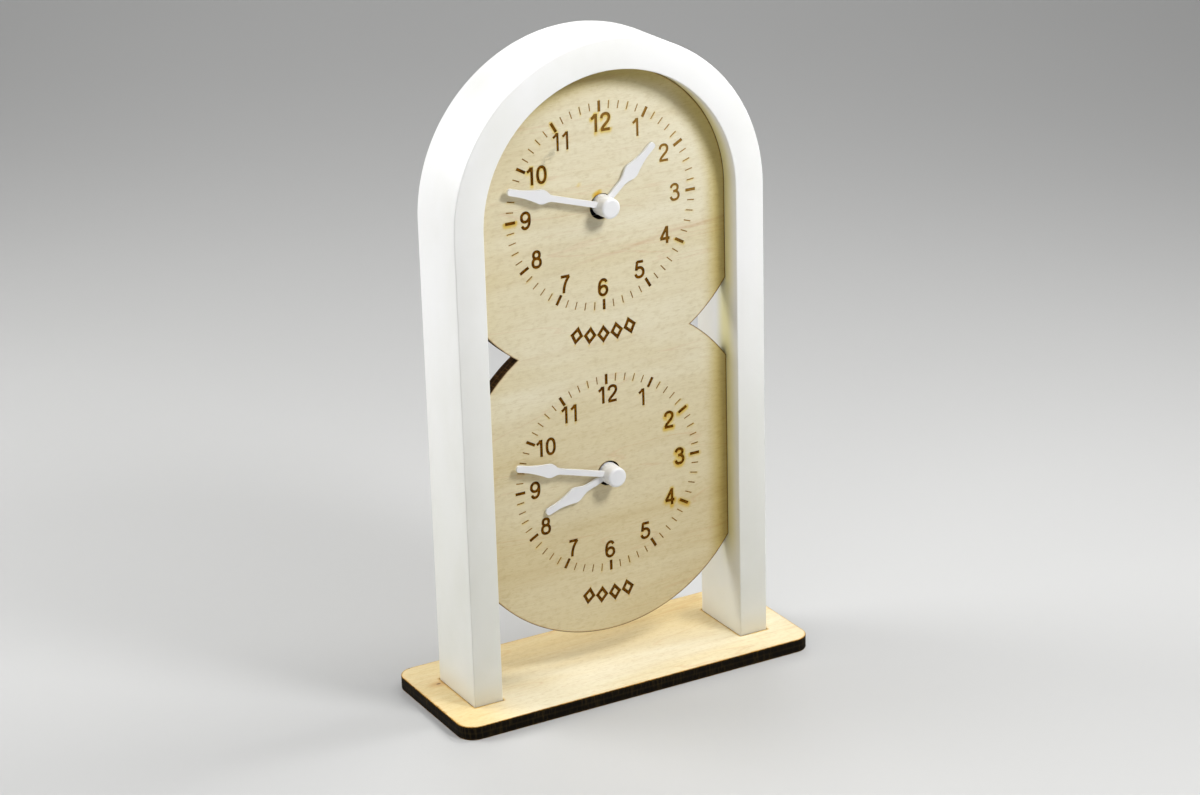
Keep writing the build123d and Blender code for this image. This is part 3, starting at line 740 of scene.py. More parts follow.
class Workpiece:
    """A mesh on the bench, shaped with the editor's own operators."""

    def __init__(self, obj: bpy.types.Object, name: str) -> None:
        """Take an object onto the bench under a name."""
        self.obj = obj
        obj.name = name
        obj.data.name = name

    @staticmethod
    def clear() -> None:
        """Leave the bench with nothing selected, in object mode."""
        if bpy.context.mode != "OBJECT":
            bpy.ops.object.mode_set(mode="OBJECT")
        bpy.ops.object.select_all(action="DESELECT")

    @classmethod
    def block(cls, name: str, centre: Place, size: Place) -> "Workpiece":
        """Start from a block.

        Args:
            name: The piece's name.
            centre: Its middle in millimetres.
            size: Its three sizes in millimetres.

        Returns:
            The new piece.
        """
        cls.clear()
        bpy.ops.mesh.primitive_cube_add(size=1, location=mm(*centre))
        return cls(bpy.context.object, name).settle(size)

    @classmethod
    def rod(cls, name: str, centre: Place, radius: float, length: float, sides: int,
            along_x: bool = False) -> "Workpiece":
        """Start from a rod along Y or X.

        Args:
            name: The piece's name.
            centre: Its middle in millimetres.
            radius: Its radius in millimetres.
            length: Its length in millimetres.
            sides: How many sides stand for its round.
            along_x: Whether it lies along X.

        Returns:
            The new piece.
        """
        cls.clear()
        turn = (0, math.pi / 2, 0) if along_x else (math.pi / 2, 0, 0)
        bpy.ops.mesh.primitive_cylinder_add(
            vertices=sides, radius=radius * MM, depth=length * MM, location=mm(*centre), rotation=turn
        )
        return cls(bpy.context.object, name).settle()

    @classmethod
    def copy_of(cls, node: str, name: str) -> "Workpiece":
        """Start from a merged copy of a solid of the frame.

        Args:
            node: The solid's node.
            name: The piece's name.

        Returns:
            The copy, with its flat faces whole again.
        """
        cls.clear()
        mesh = frame["nodes"][node].data.copy()
        mesh.materials.clear()
        piece = cls(bpy.data.objects.new(name, mesh), name)
        bpy.context.scene.collection.objects.link(piece.obj)
        with piece:
            bpy.ops.mesh.customdata_custom_splitnormals_clear()
            bpy.ops.mesh.select_all(action="SELECT")
            bpy.ops.mesh.remove_doubles(threshold=0.005 * MM)
            bpy.ops.mesh.dissolve_limited(angle_limit=math.radians(0.5))
        return piece

    def activate(self) -> None:
        """Make this the one selected and active object."""
        self.clear()
        self.obj.select_set(True)
        bpy.context.view_layer.objects.active = self.obj

    def __enter__(self) -> "Workpiece":
        """Go into edit mode on this piece."""
        self.activate()
        bpy.ops.object.mode_set(mode="EDIT")
        return self

    def __exit__(self, *_: object) -> None:
        """Go back to object mode."""
        bpy.ops.object.mode_set(mode="OBJECT")

    def settle(self, size: Place | None = None) -> "Workpiece":
        """Put the object's place and turn into its mesh, and first a size in millimetres."""
        if size:
            self.obj.scale = mm(*size)
        self.activate()
        bpy.ops.object.transform_apply(location=True, rotation=True, scale=True)
        return self

    def move(self, matrix: Matrix) -> "Workpiece":
        """Put a place into the mesh."""
        self.obj.data.transform(matrix)
        self.obj.data.update()
        return self

    def reach(self, measure: Callable[[Vector], float]) -> float:
        """The largest measure of any vertex, in edit mode."""
        return max(measure(vertex.co) for vertex in bmesh.from_edit_mesh(self.obj.data).verts)

    def pick(self, kind: str, wanted: Callable[..., bool]) -> None:
        """Select the parts that a test picks and nothing else, in edit mode.

        Args:
            kind: What is picked: VERT, EDGE or FACE.
            wanted: The test.
        """
        bpy.ops.mesh.select_mode(type=kind)
        bpy.ops.mesh.select_all(action="DESELECT")
        mesh = bmesh.from_edit_mesh(self.obj.data)
        mesh.normal_update()
        for part in {"VERT": mesh.verts, "EDGE": mesh.edges, "FACE": mesh.faces}[kind]:
            if wanted(part):
                part.select_set(True)
        if kind == "FACE":
            mesh.select_flush_mode()
        bmesh.update_edit_mesh(self.obj.data)

    @staticmethod
    def extrude(x: float, y: float, z: float) -> None:
        """Draw out what is selected by so many millimetres, in edit mode."""
        bpy.ops.mesh.extrude_region_move(TRANSFORM_OT_translate={"value": tuple(mm(x, y, z))})

    @staticmethod
    def step_in(width: float, x: float, y: float) -> None:
        """Inset the selected faces and move them along X and Y, in edit mode and millimetres."""
        bpy.ops.mesh.inset(thickness=width * MM)
        bpy.ops.transform.translate(value=mm(x, y, 0))

    @staticmethod
    def round_off(radius: float, steps: int, **options: object) -> None:
        """Round what is selected, in edit mode.

        Args:
            radius: How wide the rounding is, in millimetres.
            steps: How many faces go round it.
            options: Further options of the bevel.
        """
        bpy.ops.mesh.bevel(offset=radius * MM, segments=steps, **{"affect": "EDGES", **options})

    def assign(self, number: int) -> None:
        """Give the selected faces a material number, in edit mode."""
        self.obj.active_material_index = number
        bpy.ops.object.material_slot_assign()

    def modify(self, kind: str, **settings: object) -> "Workpiece":
        """Add a modifier and apply it.

        Args:
            kind: Blender's name for the modifier.
            settings: Its options.

        Returns:
            This piece.
        """
        self.activate()
        modifier = self.obj.modifiers.new(kind.lower(), kind)
        for option, value in settings.items():
            setattr(modifier, option, value)
        bpy.ops.object.modifier_apply(modifier=modifier.name)
        return self

    def carve(self, tool: "Workpiece", operation: str = "DIFFERENCE", crossing: bool = False) -> None:
        """Cut this piece with another, or join or trim it, and put the other away.

        Args:
            tool: The other piece.
            operation: Whether to cut, join or trim.
            crossing: Whether the tool's own parts cross each other.
        """
        self.modify("BOOLEAN", operation=operation, object=tool.obj, solver="EXACT", use_self=crossing,
                    material_mode="TRANSFER")
        bpy.data.objects.remove(tool.obj)

    def soften(self, width: float) -> "Workpiece":
        """Round every edge that turns by more than 50 degrees, so many millimetres wide."""
        return self.modify("BEVEL", width=width * MM, segments=3, limit_method="ANGLE",
                           angle_limit=math.radians(50), harden_normals=False)

    def tidy(self) -> "Workpiece":
        """Merge what coincides and turn every face outwards."""
        with self:
            bpy.ops.mesh.select_all(action="SELECT")
            bpy.ops.mesh.remove_doubles(threshold=0.001 * MM)
            bpy.ops.mesh.normals_make_consistent(inside=False)
        return self

    def smooth(self, angle: float) -> "Workpiece":
        """Shade smoothly over edges flatter than an angle in degrees."""
        self.activate()
        bpy.ops.object.shade_smooth_by_angle(angle=math.radians(angle))
        return self

    def coat(self, *finishes: Finish) -> "Workpiece":
        """Give the piece its finishes, in the order of its material numbers."""
        self.obj.data.materials.clear()
        for finish in finishes:
            self.obj.data.materials.append(finish.make())
        return self

    def deliver(self, body: str, node: str, slot: str) -> None:
        """Hand the piece over to the frame.

        Args:
            body: The body that it rides on.
            node: The solid that it stands for.
            slot: The material slot that its finish belongs to. It is not used.
        """
        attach(self.obj, body)
        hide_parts(node)
        triangles = sum(len(face.vertices) - 2 for face in self.obj.data.polygons)
        log.info("%s: %d triangles on %s", self.obj.name, triangles, body)


def join(name: str, pieces: Sequence[Workpiece]) -> Workpiece:
    """Make several pieces one mesh without cutting them.

    Args:
        name: The name of what comes out.
        pieces: The pieces.

    Returns:
        The joined piece.
    """
    Workpiece.clear()
    for piece in pieces:
        piece.obj.select_set(True)
    bpy.context.view_layer.objects.active = pieces[0].obj
    bpy.ops.object.join()
    return Workpiece(bpy.context.object, name)


def turned(angle: float, x: float, y: float, z: float) -> Matrix:
    """A turn about Y in degrees, clockwise from the front, and then a place in millimetres."""
    return Matrix.Translation(mm(x, y, z)) @ Matrix.Rotation(math.radians(angle), 4, "Y")


# Stand -----------------------------------------------------------------------


@dataclass
class Stand:
    """Base and white arch."""

    length: float = 180.0
    depth: float = 70.0
    corner: float = 8.0
    frame_width: float = 152.4
    frame_depth: float = 34.7
    leg_face: float = 14.1
    foot_bottom: float = 0.2
    edge_round: float = 0.55
    rim: float = 0.22
    kerf: float = 0.12
    veneer: BaseVeneer = BaseVeneer("base_veneer", "e8e2cc", "dfd0a8", "cda068")
    burnt: BurntEdge = BurntEdge("base_burnt_edge")
    scorched: EngravedBurn = EngravedBurn("scorched_rim", "5f3b10", "c08a34")
    paint: SatinPaint = SatinPaint("white_satin_paint")

    def foot_centre(self) -> float:
        """Distance from the middle to the middle of a leg."""
        return (self.frame_width - self.leg_face) / 2

    def base(self) -> None:
        """Plywood base with rounded corners, a fine scorched rim and a mortise for each leg."""
        middle = BOARD / 2
        base = Workpiece.block("base_board", (0, 0, middle), (self.length, self.depth, BOARD))
        with base:
            base.pick("EDGE", lambda edge: abs(edge.verts[0].co.z - edge.verts[1].co.z) > middle * MM)
            base.round_off(self.corner, 14)
        base.coat(self.veneer, self.burnt, self.scorched)
        for side in (-1, 1):
            size = (self.leg_face + 2 * self.kerf, self.frame_depth + 2 * self.kerf, 3 * BOARD)
            base.carve(Workpiece.block("mortise", (side * self.foot_centre(), 0, middle), size))
        with base:
            bpy.ops.mesh.select_all(action="SELECT")
            base.assign(0)
            base.pick("FACE", lambda face: abs(face.normal.z) < 0.5)
            base.assign(1)
            base.pick("EDGE", self.outer_rim)
            base.round_off(self.rim, 2, material=2)
        base.tidy().smooth(32).deliver("stand", "base_plate", "base_ply")

    def outer_rim(self, edge: bmesh.types.BMEdge) -> bool:
        """Whether an edge lies between a flat face and the outer side."""
        flats = sum(abs(face.normal.z) > 0.9 for face in edge.link_faces)
        middle = (edge.verts[0].co + edge.verts[1].co) / 2 / MM
        at_end = abs(middle.x) > self.length / 2 - self.corner
        at_side = abs(middle.y) > self.depth / 2 - self.corner
        return len(edge.link_faces) == 2 and flats == 1 and (at_end or at_side)

    def arch(self) -> None:
        """Two legs and a half-round arch, drawn out from one foot and spun over the top."""
        Workpiece.clear()
        bpy.ops.mesh.primitive_plane_add(size=1, location=mm(-self.foot_centre(), 0, self.foot_bottom))
        arch = Workpiece(bpy.context.object, "white_arch").settle((self.leg_face, self.frame_depth, 1))
        rise = DIAL_CENTRES[0] - self.foot_bottom
        with arch:
            bpy.ops.mesh.select_all(action="SELECT")
            arch.extrude(0, 0, rise)
            bpy.ops.mesh.spin(steps=120, angle=-math.pi, center=mm(0, 0, DIAL_CENTRES[0]), axis=(0, 1, 0))
            arch.extrude(0, 0, -rise)
        with arch.tidy():
            arch.pick("EDGE", self.long_edge)
            arch.round_off(self.edge_round, 5)
        arch.coat(self.paint).smooth(40).deliver("stand", "arch_frame", "white_paint")

    @staticmethod
    def long_edge(edge: bmesh.types.BMEdge) -> bool:
        """Whether an edge runs along the arch between two of its sides."""
        if len(edge.link_faces) != 2:
            return False
        along_y = abs((edge.verts[1].co - edge.verts[0].co).normalized().y) > 0.9
        at_foot = any(abs(face.normal.z) > 0.99 and face.calc_center_median().z < BOARD * MM
                      for face in edge.link_faces)
        return not along_y and not at_foot and edge.calc_face_angle(0) > 1.0


# Dial panel ------------------------------------------------------------------


@dataclass(frozen=True)
class Dial:
    """What differs between the dials, with tables by the hour where only some hours differ."""

    centre: float
    tick_smoke: dict[int, float]
    smoke: dict[int, float]
    breadth: dict[int, float]
    lozenges: int
    shift: float


DIALS = (
    Dial(DIAL_CENTRES[0], {9: 0.9, 12: 0.4, 11: 0.75, 10: 0.5, 4: 0.6}, {12: 0.78, 10: 0.7, 6: 0.6, 5: 0.35},
         {1: 0.84, 2: 0.86, 3: 0.86, 11: 0.84}, 5, -0.75),
    Dial(DIAL_CENTRES[1], {2: 0.9, 4: 1.0, 3: 0.7, 11: 0.45, 5: 0.35},
         {2: 0.9, 3: 1.0, 4: 0.9, 11: 0.5, 5: 0.5, 12: 0.3}, {1: 0.9, 11: 0.94}, 4, -1.75),
)
NUMERAL_SPOTS = {
    12: (0.3, 37.4), 1: (18.0, 32.4), 2: (31.5, 18.9), 3: (36.7, 0.2), 4: (31.3, -18.5), 5: (18.1, -32.0),
    6: (-0.3, -36.8), 7: (-18.9, -31.9), 8: (-32.5, -18.2), 9: (-37.2, 0.0), 10: (-31.4, 19.0),
    11: (-18.8, 32.0),
}


@dataclass(frozen=True)
class Glyphs:
    """Plain numerals drawn as single strokes, in a box one unit high."""

    height: float = 8.0
    stroke: float = 1.33
    pitch: float = 5.3
    ones_pitch: float = 4.65
    lead: float = 0.31
    oval_points: int = 32
    oval_power: float = 0.88

    def oval(self, up: float, half_width: float, half_height: float) -> list[Point]:
        """Points round a slightly square oval.

        Args:
            up: Its middle.
            half_width: Half of its width.
            half_height: Half of its height.

        Returns:
            The points, without the first one again.
        """
        points = []
        for step in range(self.oval_points):
            angle = step * math.tau / self.oval_points
            cosine, sine = math.cos(angle), math.sin(angle)
            points.append((
                self.lead + half_width * math.copysign(abs(cosine) ** self.oval_power, cosine),
                up + half_height * math.copysign(abs(sine) ** self.oval_power, sine),
            ))
        return points

    def strokes(self, digit: str) -> list[tuple[str, list[Point]]]:
        """The strokes of a digit.

        Args:
            digit: The digit.

        Returns:
            For each stroke its kind (closed, curved or straight) and its points.
        """
        six = [(0.52, 0.775), (0.45, 0.895), (0.325, 0.9375), (0.17, 0.86), (0.085, 0.65), (0.07, 0.42),
               (0.12, 0.17), (0.31, 0.0625), (0.49, 0.15), (0.55, 0.325), (0.49, 0.50), (0.325, 0.57),
               (0.16, 0.50), (0.078, 0.36)]
        shapes: dict[str, list[tuple[str, list[Point]]]] = {
            "0": [("closed", self.oval(0.5, 0.235, 0.4375))],
            "1": [("curved", [(0.115, 0.755), (0.25, 0.845), (0.355, 0.97)]),
                  ("straight", [(0.39, 0.0), (0.39, 1.0)])],
            "2": [("curved", [(0.075, 0.70), (0.13, 0.865), (0.305, 0.9375), (0.485, 0.87), (0.54, 0.715),
                              (0.48, 0.54), (0.31, 0.365), (0.15, 0.20), (0.085, 0.0625)]),
                  ("straight", [(0.045, 0.0625), (0.58, 0.0625)])],
            "3": [("curved", [(0.075, 0.755), (0.145, 0.885), (0.295, 0.9375), (0.45, 0.88), (0.505, 0.745),
                              (0.43, 0.60), (0.22, 0.545)]),
                  ("curved", [(0.22, 0.545), (0.37, 0.545), (0.50, 0.455), (0.555, 0.29), (0.485, 0.125),
                              (0.295, 0.0625), (0.13, 0.115), (0.06, 0.255)])],
            "4": [("straight", [(0.45, 0.0), (0.45, 0.99)]),
                  ("straight", [(0.44, 0.95), (0.06, 0.30)]),
                  ("straight", [(0.02, 0.29), (0.61, 0.29)])],
            "5": [("straight", [(0.555, 0.9375), (0.155, 0.9375)]),
                  ("straight", [(0.18, 0.97), (0.105, 0.46)]),
                  ("curved", [(0.10, 0.485), (0.19, 0.575), (0.32, 0.605), (0.485, 0.53), (0.555, 0.34),
                              (0.49, 0.145), (0.30, 0.0625), (0.135, 0.115), (0.06, 0.255)])],
            "6": [("curved", six)],
            "7": [("straight", [(0.045, 0.9375), (0.575, 0.9375)]),
                  ("curved", [(0.55, 0.93), (0.40, 0.73), (0.29, 0.50), (0.225, 0.25), (0.205, 0.0)])],
            "8": [("closed", self.oval(0.745, 0.185, 0.1925)), ("closed", self.oval(0.305, 0.235, 0.2425))],
            "9": [("curved", [(2 * self.lead - across, 1.0 - up) for across, up in six])],
        }
        return shapes[digit]

    def lines(self, value: int, centre: float) -> list[tuple[str, list[Point]]]:
        """The centre lines of a numeral in its place.

        Args:
            value: The number.
            centre: Height of the dial's centre.

        Returns:
            For each stroke its kind and its points in millimetres.
        """
        text = str(value)
        pitch = self.ones_pitch if text == "11" else self.pitch
        middle, level = NUMERAL_SPOTS[value]
        lines = []
        for place, digit in enumerate(text):
            shift = (place - (len(text) - 1) / 2) * pitch - self.lead * self.height
            for kind, points in self.strokes(digit):
                lines.append((kind, [
                    (middle + shift + across * self.height, level + (up - 0.5) * self.height + centre)
                    for across, up in points
                ]))
        return lines


def spoke(reach: "float | np.ndarray", minute: "float | np.ndarray", centre: float) -> np.ndarray:
    """Points on rays from a dial's centre.

    Args:
        reach: How far out they are.
        minute: Which minute their rays point to.
        centre: Height of the dial's centre.

    Returns:
        Their places across and up, along the last axis.
    """
    angle = np.radians(minute * 6)
    return np.stack([reach * np.sin(angle), centre + reach * np.cos(angle)], -1)


@dataclass
class DialPanel:
    """The plywood panel with both dials engraved in it."""

    front: float = -7.6
    hole_radius: float = 5.8
    grid: float = 1.0
    margin: float = 2.0
    recess: float = 0.3
    faint_recess: float = 0.14
    hour_tick: Place = (42.2, 47.0, 1.38)
    minute_tick: Place = (43.2, 46.7, 0.5)
    ornament_radius: float = 58.2
    ornament_pitch: float = 6.7
    lozenge: Point = (2.35, 3.0)
    lozenge_stroke: float = 1.45
    smoke_margin: float = 7.0
    smoke_rise: Point = (0.6, 1.5)
    tick_smoke: float = 0.36
    numeral_smoke: float = 0.42
    lozenge_smoke: float = 0.4
    hole_smoke: float = 0.25
    minute_smoke: Point = (0.2, 0.34)
    stains: tuple[tuple[tuple[Point, ...], float], ...] = (
        (((-2.0, 6.2), (-1.0, 6.6), (-3.0, 5.6)), 1.1),
        (((-10.6, 11.8), (-11.4, 11.4)), 0.5),
    )
    glyphs: Glyphs = Glyphs()
    face: DialVeneer = DialVeneer("dial_veneer", "e4ddc4", "d9cda9", "cfa27c", tilt=1.0)
    burnt: BurntEdge = BurntEdge("dial_burnt_edge", Plies.BACK, -7.6, "2a1a0b", "5d3f1c")
    engraved: EngravedBurn = EngravedBurn("engraved_marks")
    faint: EngravedBurn = EngravedBurn("faint_marks", "6b450c", "a2782a")
    back_face: BirchVeneer = BirchVeneer("dial_back_veneer", "dccda6", "cdb682", "b58e58", tilt=-3.0)

    def outline(self) -> Workpiece:
        """Solid whose side is the panel's outline.

        Returns:
            The solid, wider than the board from front to back.
        """
        middle, thick = self.front + BOARD / 2, 3 * BOARD
        high, low = DIAL_CENTRES
        lobes = Workpiece.rod("lobe", (0, middle, high), LOBE_RADIUS, thick, 256)
        lobes.carve(Workpiece.rod("lobe", (0, middle, low), LOBE_RADIUS, thick + 1, 256), "UNION")
        window = Workpiece.rod("window", (0, middle, high), PANEL_HALF_WIDTH, thick + 2, 256)
        legs = Workpiece.block("window", (0, middle, high / 2), (2 * PANEL_HALF_WIDTH, thick + 3, high))
        window.carve(legs, "UNION")
        lobes.carve(window, "INTERSECT")
        for centre in DIAL_CENTRES:
            lobes.carve(Workpiece.rod("hole", (0, middle, centre), self.hole_radius, thick + 4, 96))
        return lobes.coat(self.burnt)

    def slab(self) -> Workpiece:
        """Board with a fine front, cut to its outline.

        Returns:
            The panel before it is engraved.
        """
        bottom = DIAL_CENTRES[1] - LOBE_RADIUS - self.margin
        top = DIAL_CENTRES[0] + PANEL_HALF_WIDTH + self.margin
        wide, tall = 2 * (PANEL_HALF_WIDTH + self.margin), top - bottom
        Workpiece.clear()
        bpy.ops.mesh.primitive_grid_add(
            x_subdivisions=round(wide / self.grid), y_subdivisions=round(tall / self.grid), size=1,
            location=mm(0, self.front, (top + bottom) / 2), rotation=(math.pi / 2, 0, 0),
        )
        slab = Workpiece(bpy.context.object, "engraved_dial_panel").settle((wide, tall, 1))
        back = (self.front + BOARD / 2) * MM
        with slab:
            bpy.ops.mesh.select_all(action="SELECT")
            slab.extrude(0, BOARD, 0)
            bpy.ops.mesh.delete(type="ONLY_FACE")
            slab.pick("EDGE", lambda edge: not edge.link_faces)
            bpy.ops.mesh.delete(type="EDGE")
            slab.pick("EDGE", lambda edge: edge.is_boundary and min(end.co.y for end in edge.verts) > back)
            bpy.ops.mesh.edge_face_add()
        slab.tidy().coat(self.face)
        slab.carve(self.outline(), "INTERSECT")
        return slab

    def ticks(self, centre: float, minutes: Iterable[int], sizes: Place, depth: float) -> list[Workpiece]:
        """Cutters for ticks of one dial.

        Args:
            centre: Height of the dial's centre.
            minutes: Which minutes have such a tick.
            sizes: Where a tick starts and ends, from the centre, and its width.
            depth: How deep it cuts.

        Returns:
            One cutter for each tick.
        """
        inner, outer, width = sizes
        pieces = []
        for minute in minutes:
            across, up = spoke((inner + outer) / 2, minute, centre)
            piece = Workpiece.block("mark", (0, 0, 0), (width, 2 * depth, outer - inner))
            pieces.append(piece.move(turned(minute * 6, across, self.front, up)))
        return pieces

    def ribbon(self, kind: str, points: Sequence[Point], width: float) -> Workpiece:
        """Cutter for one stroke of a numeral.

        Args:
            kind: Whether the stroke is closed, curved or straight.
            points: Its centre line in millimetres.
            width: Width of the stroke.

        Returns:
            The cutter.
        """
        curve = bpy.data.curves.new("stroke", "CURVE")
        curve.dimensions = "3D"
        curve.resolution_u = 5
        curve.extrude = self.recess * MM
        spline = curve.splines.new("BEZIER" if kind == "curved" else "POLY")
        knots = spline.bezier_points if kind == "curved" else spline.points
        knots.add(len(points) - 1)
        for knot, (across, up) in zip(knots, points):
            if kind == "curved":
                knot.co = mm(across, up, 0)
                knot.handle_left_type = knot.handle_right_type = "AUTO"
            else:
                knot.co = (*mm(across, up, 0), 1)
        spline.use_cyclic_u = kind == "closed"
        piece = Workpiece(bpy.data.objects.new("stroke", curve), "stroke")
        bpy.context.scene.collection.objects.link(piece.obj)
        piece.activate()
        bpy.ops.object.convert(target="MESH")
        piece = Workpiece(bpy.context.object, "stroke").tidy()
        piece.modify("SOLIDIFY", thickness=width * MM, offset=0.0, use_even_offset=True)
        upright = Matrix.Rotation(math.radians(90), 4, "X")
        return piece.move(Matrix.Translation(mm(0, self.front, 0)) @ upright).tidy()

    def ornament(self, dial: Dial) -> list[Workpiece]:
        """Cutters for the row of small lozenges under a dial.

        Args:
            dial: The dial.

        Returns:
            One cutter for each lozenge.
        """
        half_width, half_height = self.lozenge
        pieces = []
        for place in range(dial.lozenges):
            along = (place - (dial.lozenges - 1) / 2) * self.ornament_pitch + dial.shift
            tilt = along / self.ornament_radius
            middle = Vector((self.ornament_radius * math.sin(tilt), -self.ornament_radius * math.cos(tilt)))
            corners = [
                (middle.x + across * math.cos(tilt) - up * math.sin(tilt),
                 dial.centre + middle.y + across * math.sin(tilt) + up * math.cos(tilt))
                for across, up in ((0, half_height), (half_width, 0), (0, -half_height), (-half_width, 0))
            ]
            pieces.append(self.ribbon("closed", corners, self.lozenge_stroke))
        return pieces

    def smoke(self, panel: Workpiece, marks: Smoke) -> None:
        """Work out for each vertex how much smoke lies on it.

        Args:
            panel: The engraved panel.
            marks: Points along each mark, and how strongly it smoked.
        """
        mesh = panel.obj.data
        spots = np.zeros(len(mesh.vertices) * 3, np.float32)
        mesh.vertices.foreach_get("co", spots)
        spots = spots.reshape(-1, 3)[:, [0, 2]] / MM
        amount = np.zeros(len(spots), np.float32)
        below, above = self.smoke_rise
        for points, strength in marks:
            low, high = points.min(0) - self.smoke_margin, points.max(0) + self.smoke_margin
            near = np.where(((spots > low) & (spots < high)).all(1))[0]
            away = spots[near][:, None] - points[None]
            away[..., 1] *= np.where(away[..., 1] < 0, below, above)
            closest = np.sqrt((away**2).sum(-1)).min(1)
            reach = 0.4 + 0.7 * strength
            amount[near] = np.maximum(amount[near], strength * np.exp(-((closest / reach) ** 1.5)))
        mesh.attributes.new("smoke", "FLOAT", "POINT").data.foreach_set("value", amount)

    def numeral(self, value: int, dial: Dial) -> tuple[list[Workpiece], np.ndarray]:
        """One numeral of a dial.

        Args:
            value: The number.
            dial: The dial.

        Returns:
            The cutters of its strokes, and points along them.
        """
        pieces, spots = [], []
        for kind, line in self.glyphs.lines(value, dial.centre):
            pieces.append(self.ribbon(kind, line, self.glyphs.stroke * dial.breadth.get(value, 1.0)))
            ends = line[1:] + (line[:1] if kind == "closed" else [])
            spots += [np.linspace(start, end, 6) for start, end in zip(line, ends)]
        return pieces, np.concatenate(spots)

    def marks(self) -> tuple[list[Workpiece], list[Workpiece], Smoke]:
        """Every mark of both dials.

        Returns:
            The cutters of the deep marks, those of the faint ones, and what the smoke is worked out from.
        """
        deep: list[Workpiece] = []
        faint: list[Workpiece] = []
        smoke: Smoke = []
        for dial in DIALS:
            centre = dial.centre
            deep += self.ticks(centre, range(0, 60, 5), self.hour_tick, self.recess)
            between = [minute for minute in range(60) if minute % 5]
            faint += self.ticks(centre, between, self.minute_tick, self.faint_recess)
            for hour in range(1, 13):
                strength = dial.tick_smoke.get(hour, self.tick_smoke)
                smoke.append((spoke(np.linspace(*self.hour_tick[:2], 14), hour * 5, centre), strength))
            for minute in range(60):
                strength = self.minute_smoke[math.sin(minute * 2.3) > 0.5]
                smoke.append((spoke(np.linspace(*self.minute_tick[:2], 8), minute, centre), strength))
            for value in NUMERAL_SPOTS:
                pieces, spots = self.numeral(value, dial)
                deep += pieces
                smoke.append((spots, dial.smoke.get(value, self.numeral_smoke)))
            row = self.ornament(dial)
            for lozenge in row:
                corners = np.array([vertex.co for vertex in lozenge.obj.data.vertices]) / MM
                smoke.append((corners[:, [0, 2]], self.lozenge_smoke))
            deep += row
            smoke.append((spoke(self.hole_radius, np.linspace(0, 60, 60), centre), self.hole_smoke))
        smoke += [(np.array(spots) + (0, DIAL_CENTRES[0]), strength) for spots, strength in self.stains]
        return deep, faint, smoke

    def build(self) -> None:
        """The engraved panel."""
        panel = self.slab()
        deep, faint, smoke = self.marks()
        for finish, cutters, crossing in ((self.engraved, deep, True), (self.faint, faint, False)):
            for cutter in cutters:
                cutter.coat(finish)
            panel.carve(join("marks", cutters), crossing=crossing)
        self.smoke(panel, smoke)
        mesh = panel.obj.data
        mesh.materials.append(self.back_face.make())
        for face in mesh.polygons:
            if face.normal.y > 0.9 and face.center.y > (self.front + BOARD - 0.05) * MM:
                face.material_index = len(mesh.materials) - 1
        panel.smooth(20).deliver("stand", "dial_panel", "dial_ply")


# Hands -----------------------------------------------------------------------


@dataclass(frozen=True)
class Blade:
    """A hand: its widths at distances from the axis, and its hub along the axis."""

    stations: tuple[Point, ...]
    front: float
    hub_back: float
    bore: float
    corners: tuple[float, ...] = (1.6, 1.5, 2.6, 2.2, 1.25)


HOUR_BLADE = Blade(
    ((0.0, 2.9), (13.6, 2.9), (18.9, 7.6), (23.0, 4.85), (28.0, 3.1), (34.8, 3.1)), -9.45, -7.0, 2.57
)
MINUTE_BLADE = Blade(
    ((0.0, 2.6), (28.0, 2.6), (31.8, 6.9), (37.0, 4.45), (43.0, 3.0), (49.3, 3.0)), -11.1, -9.65, 1.62
)


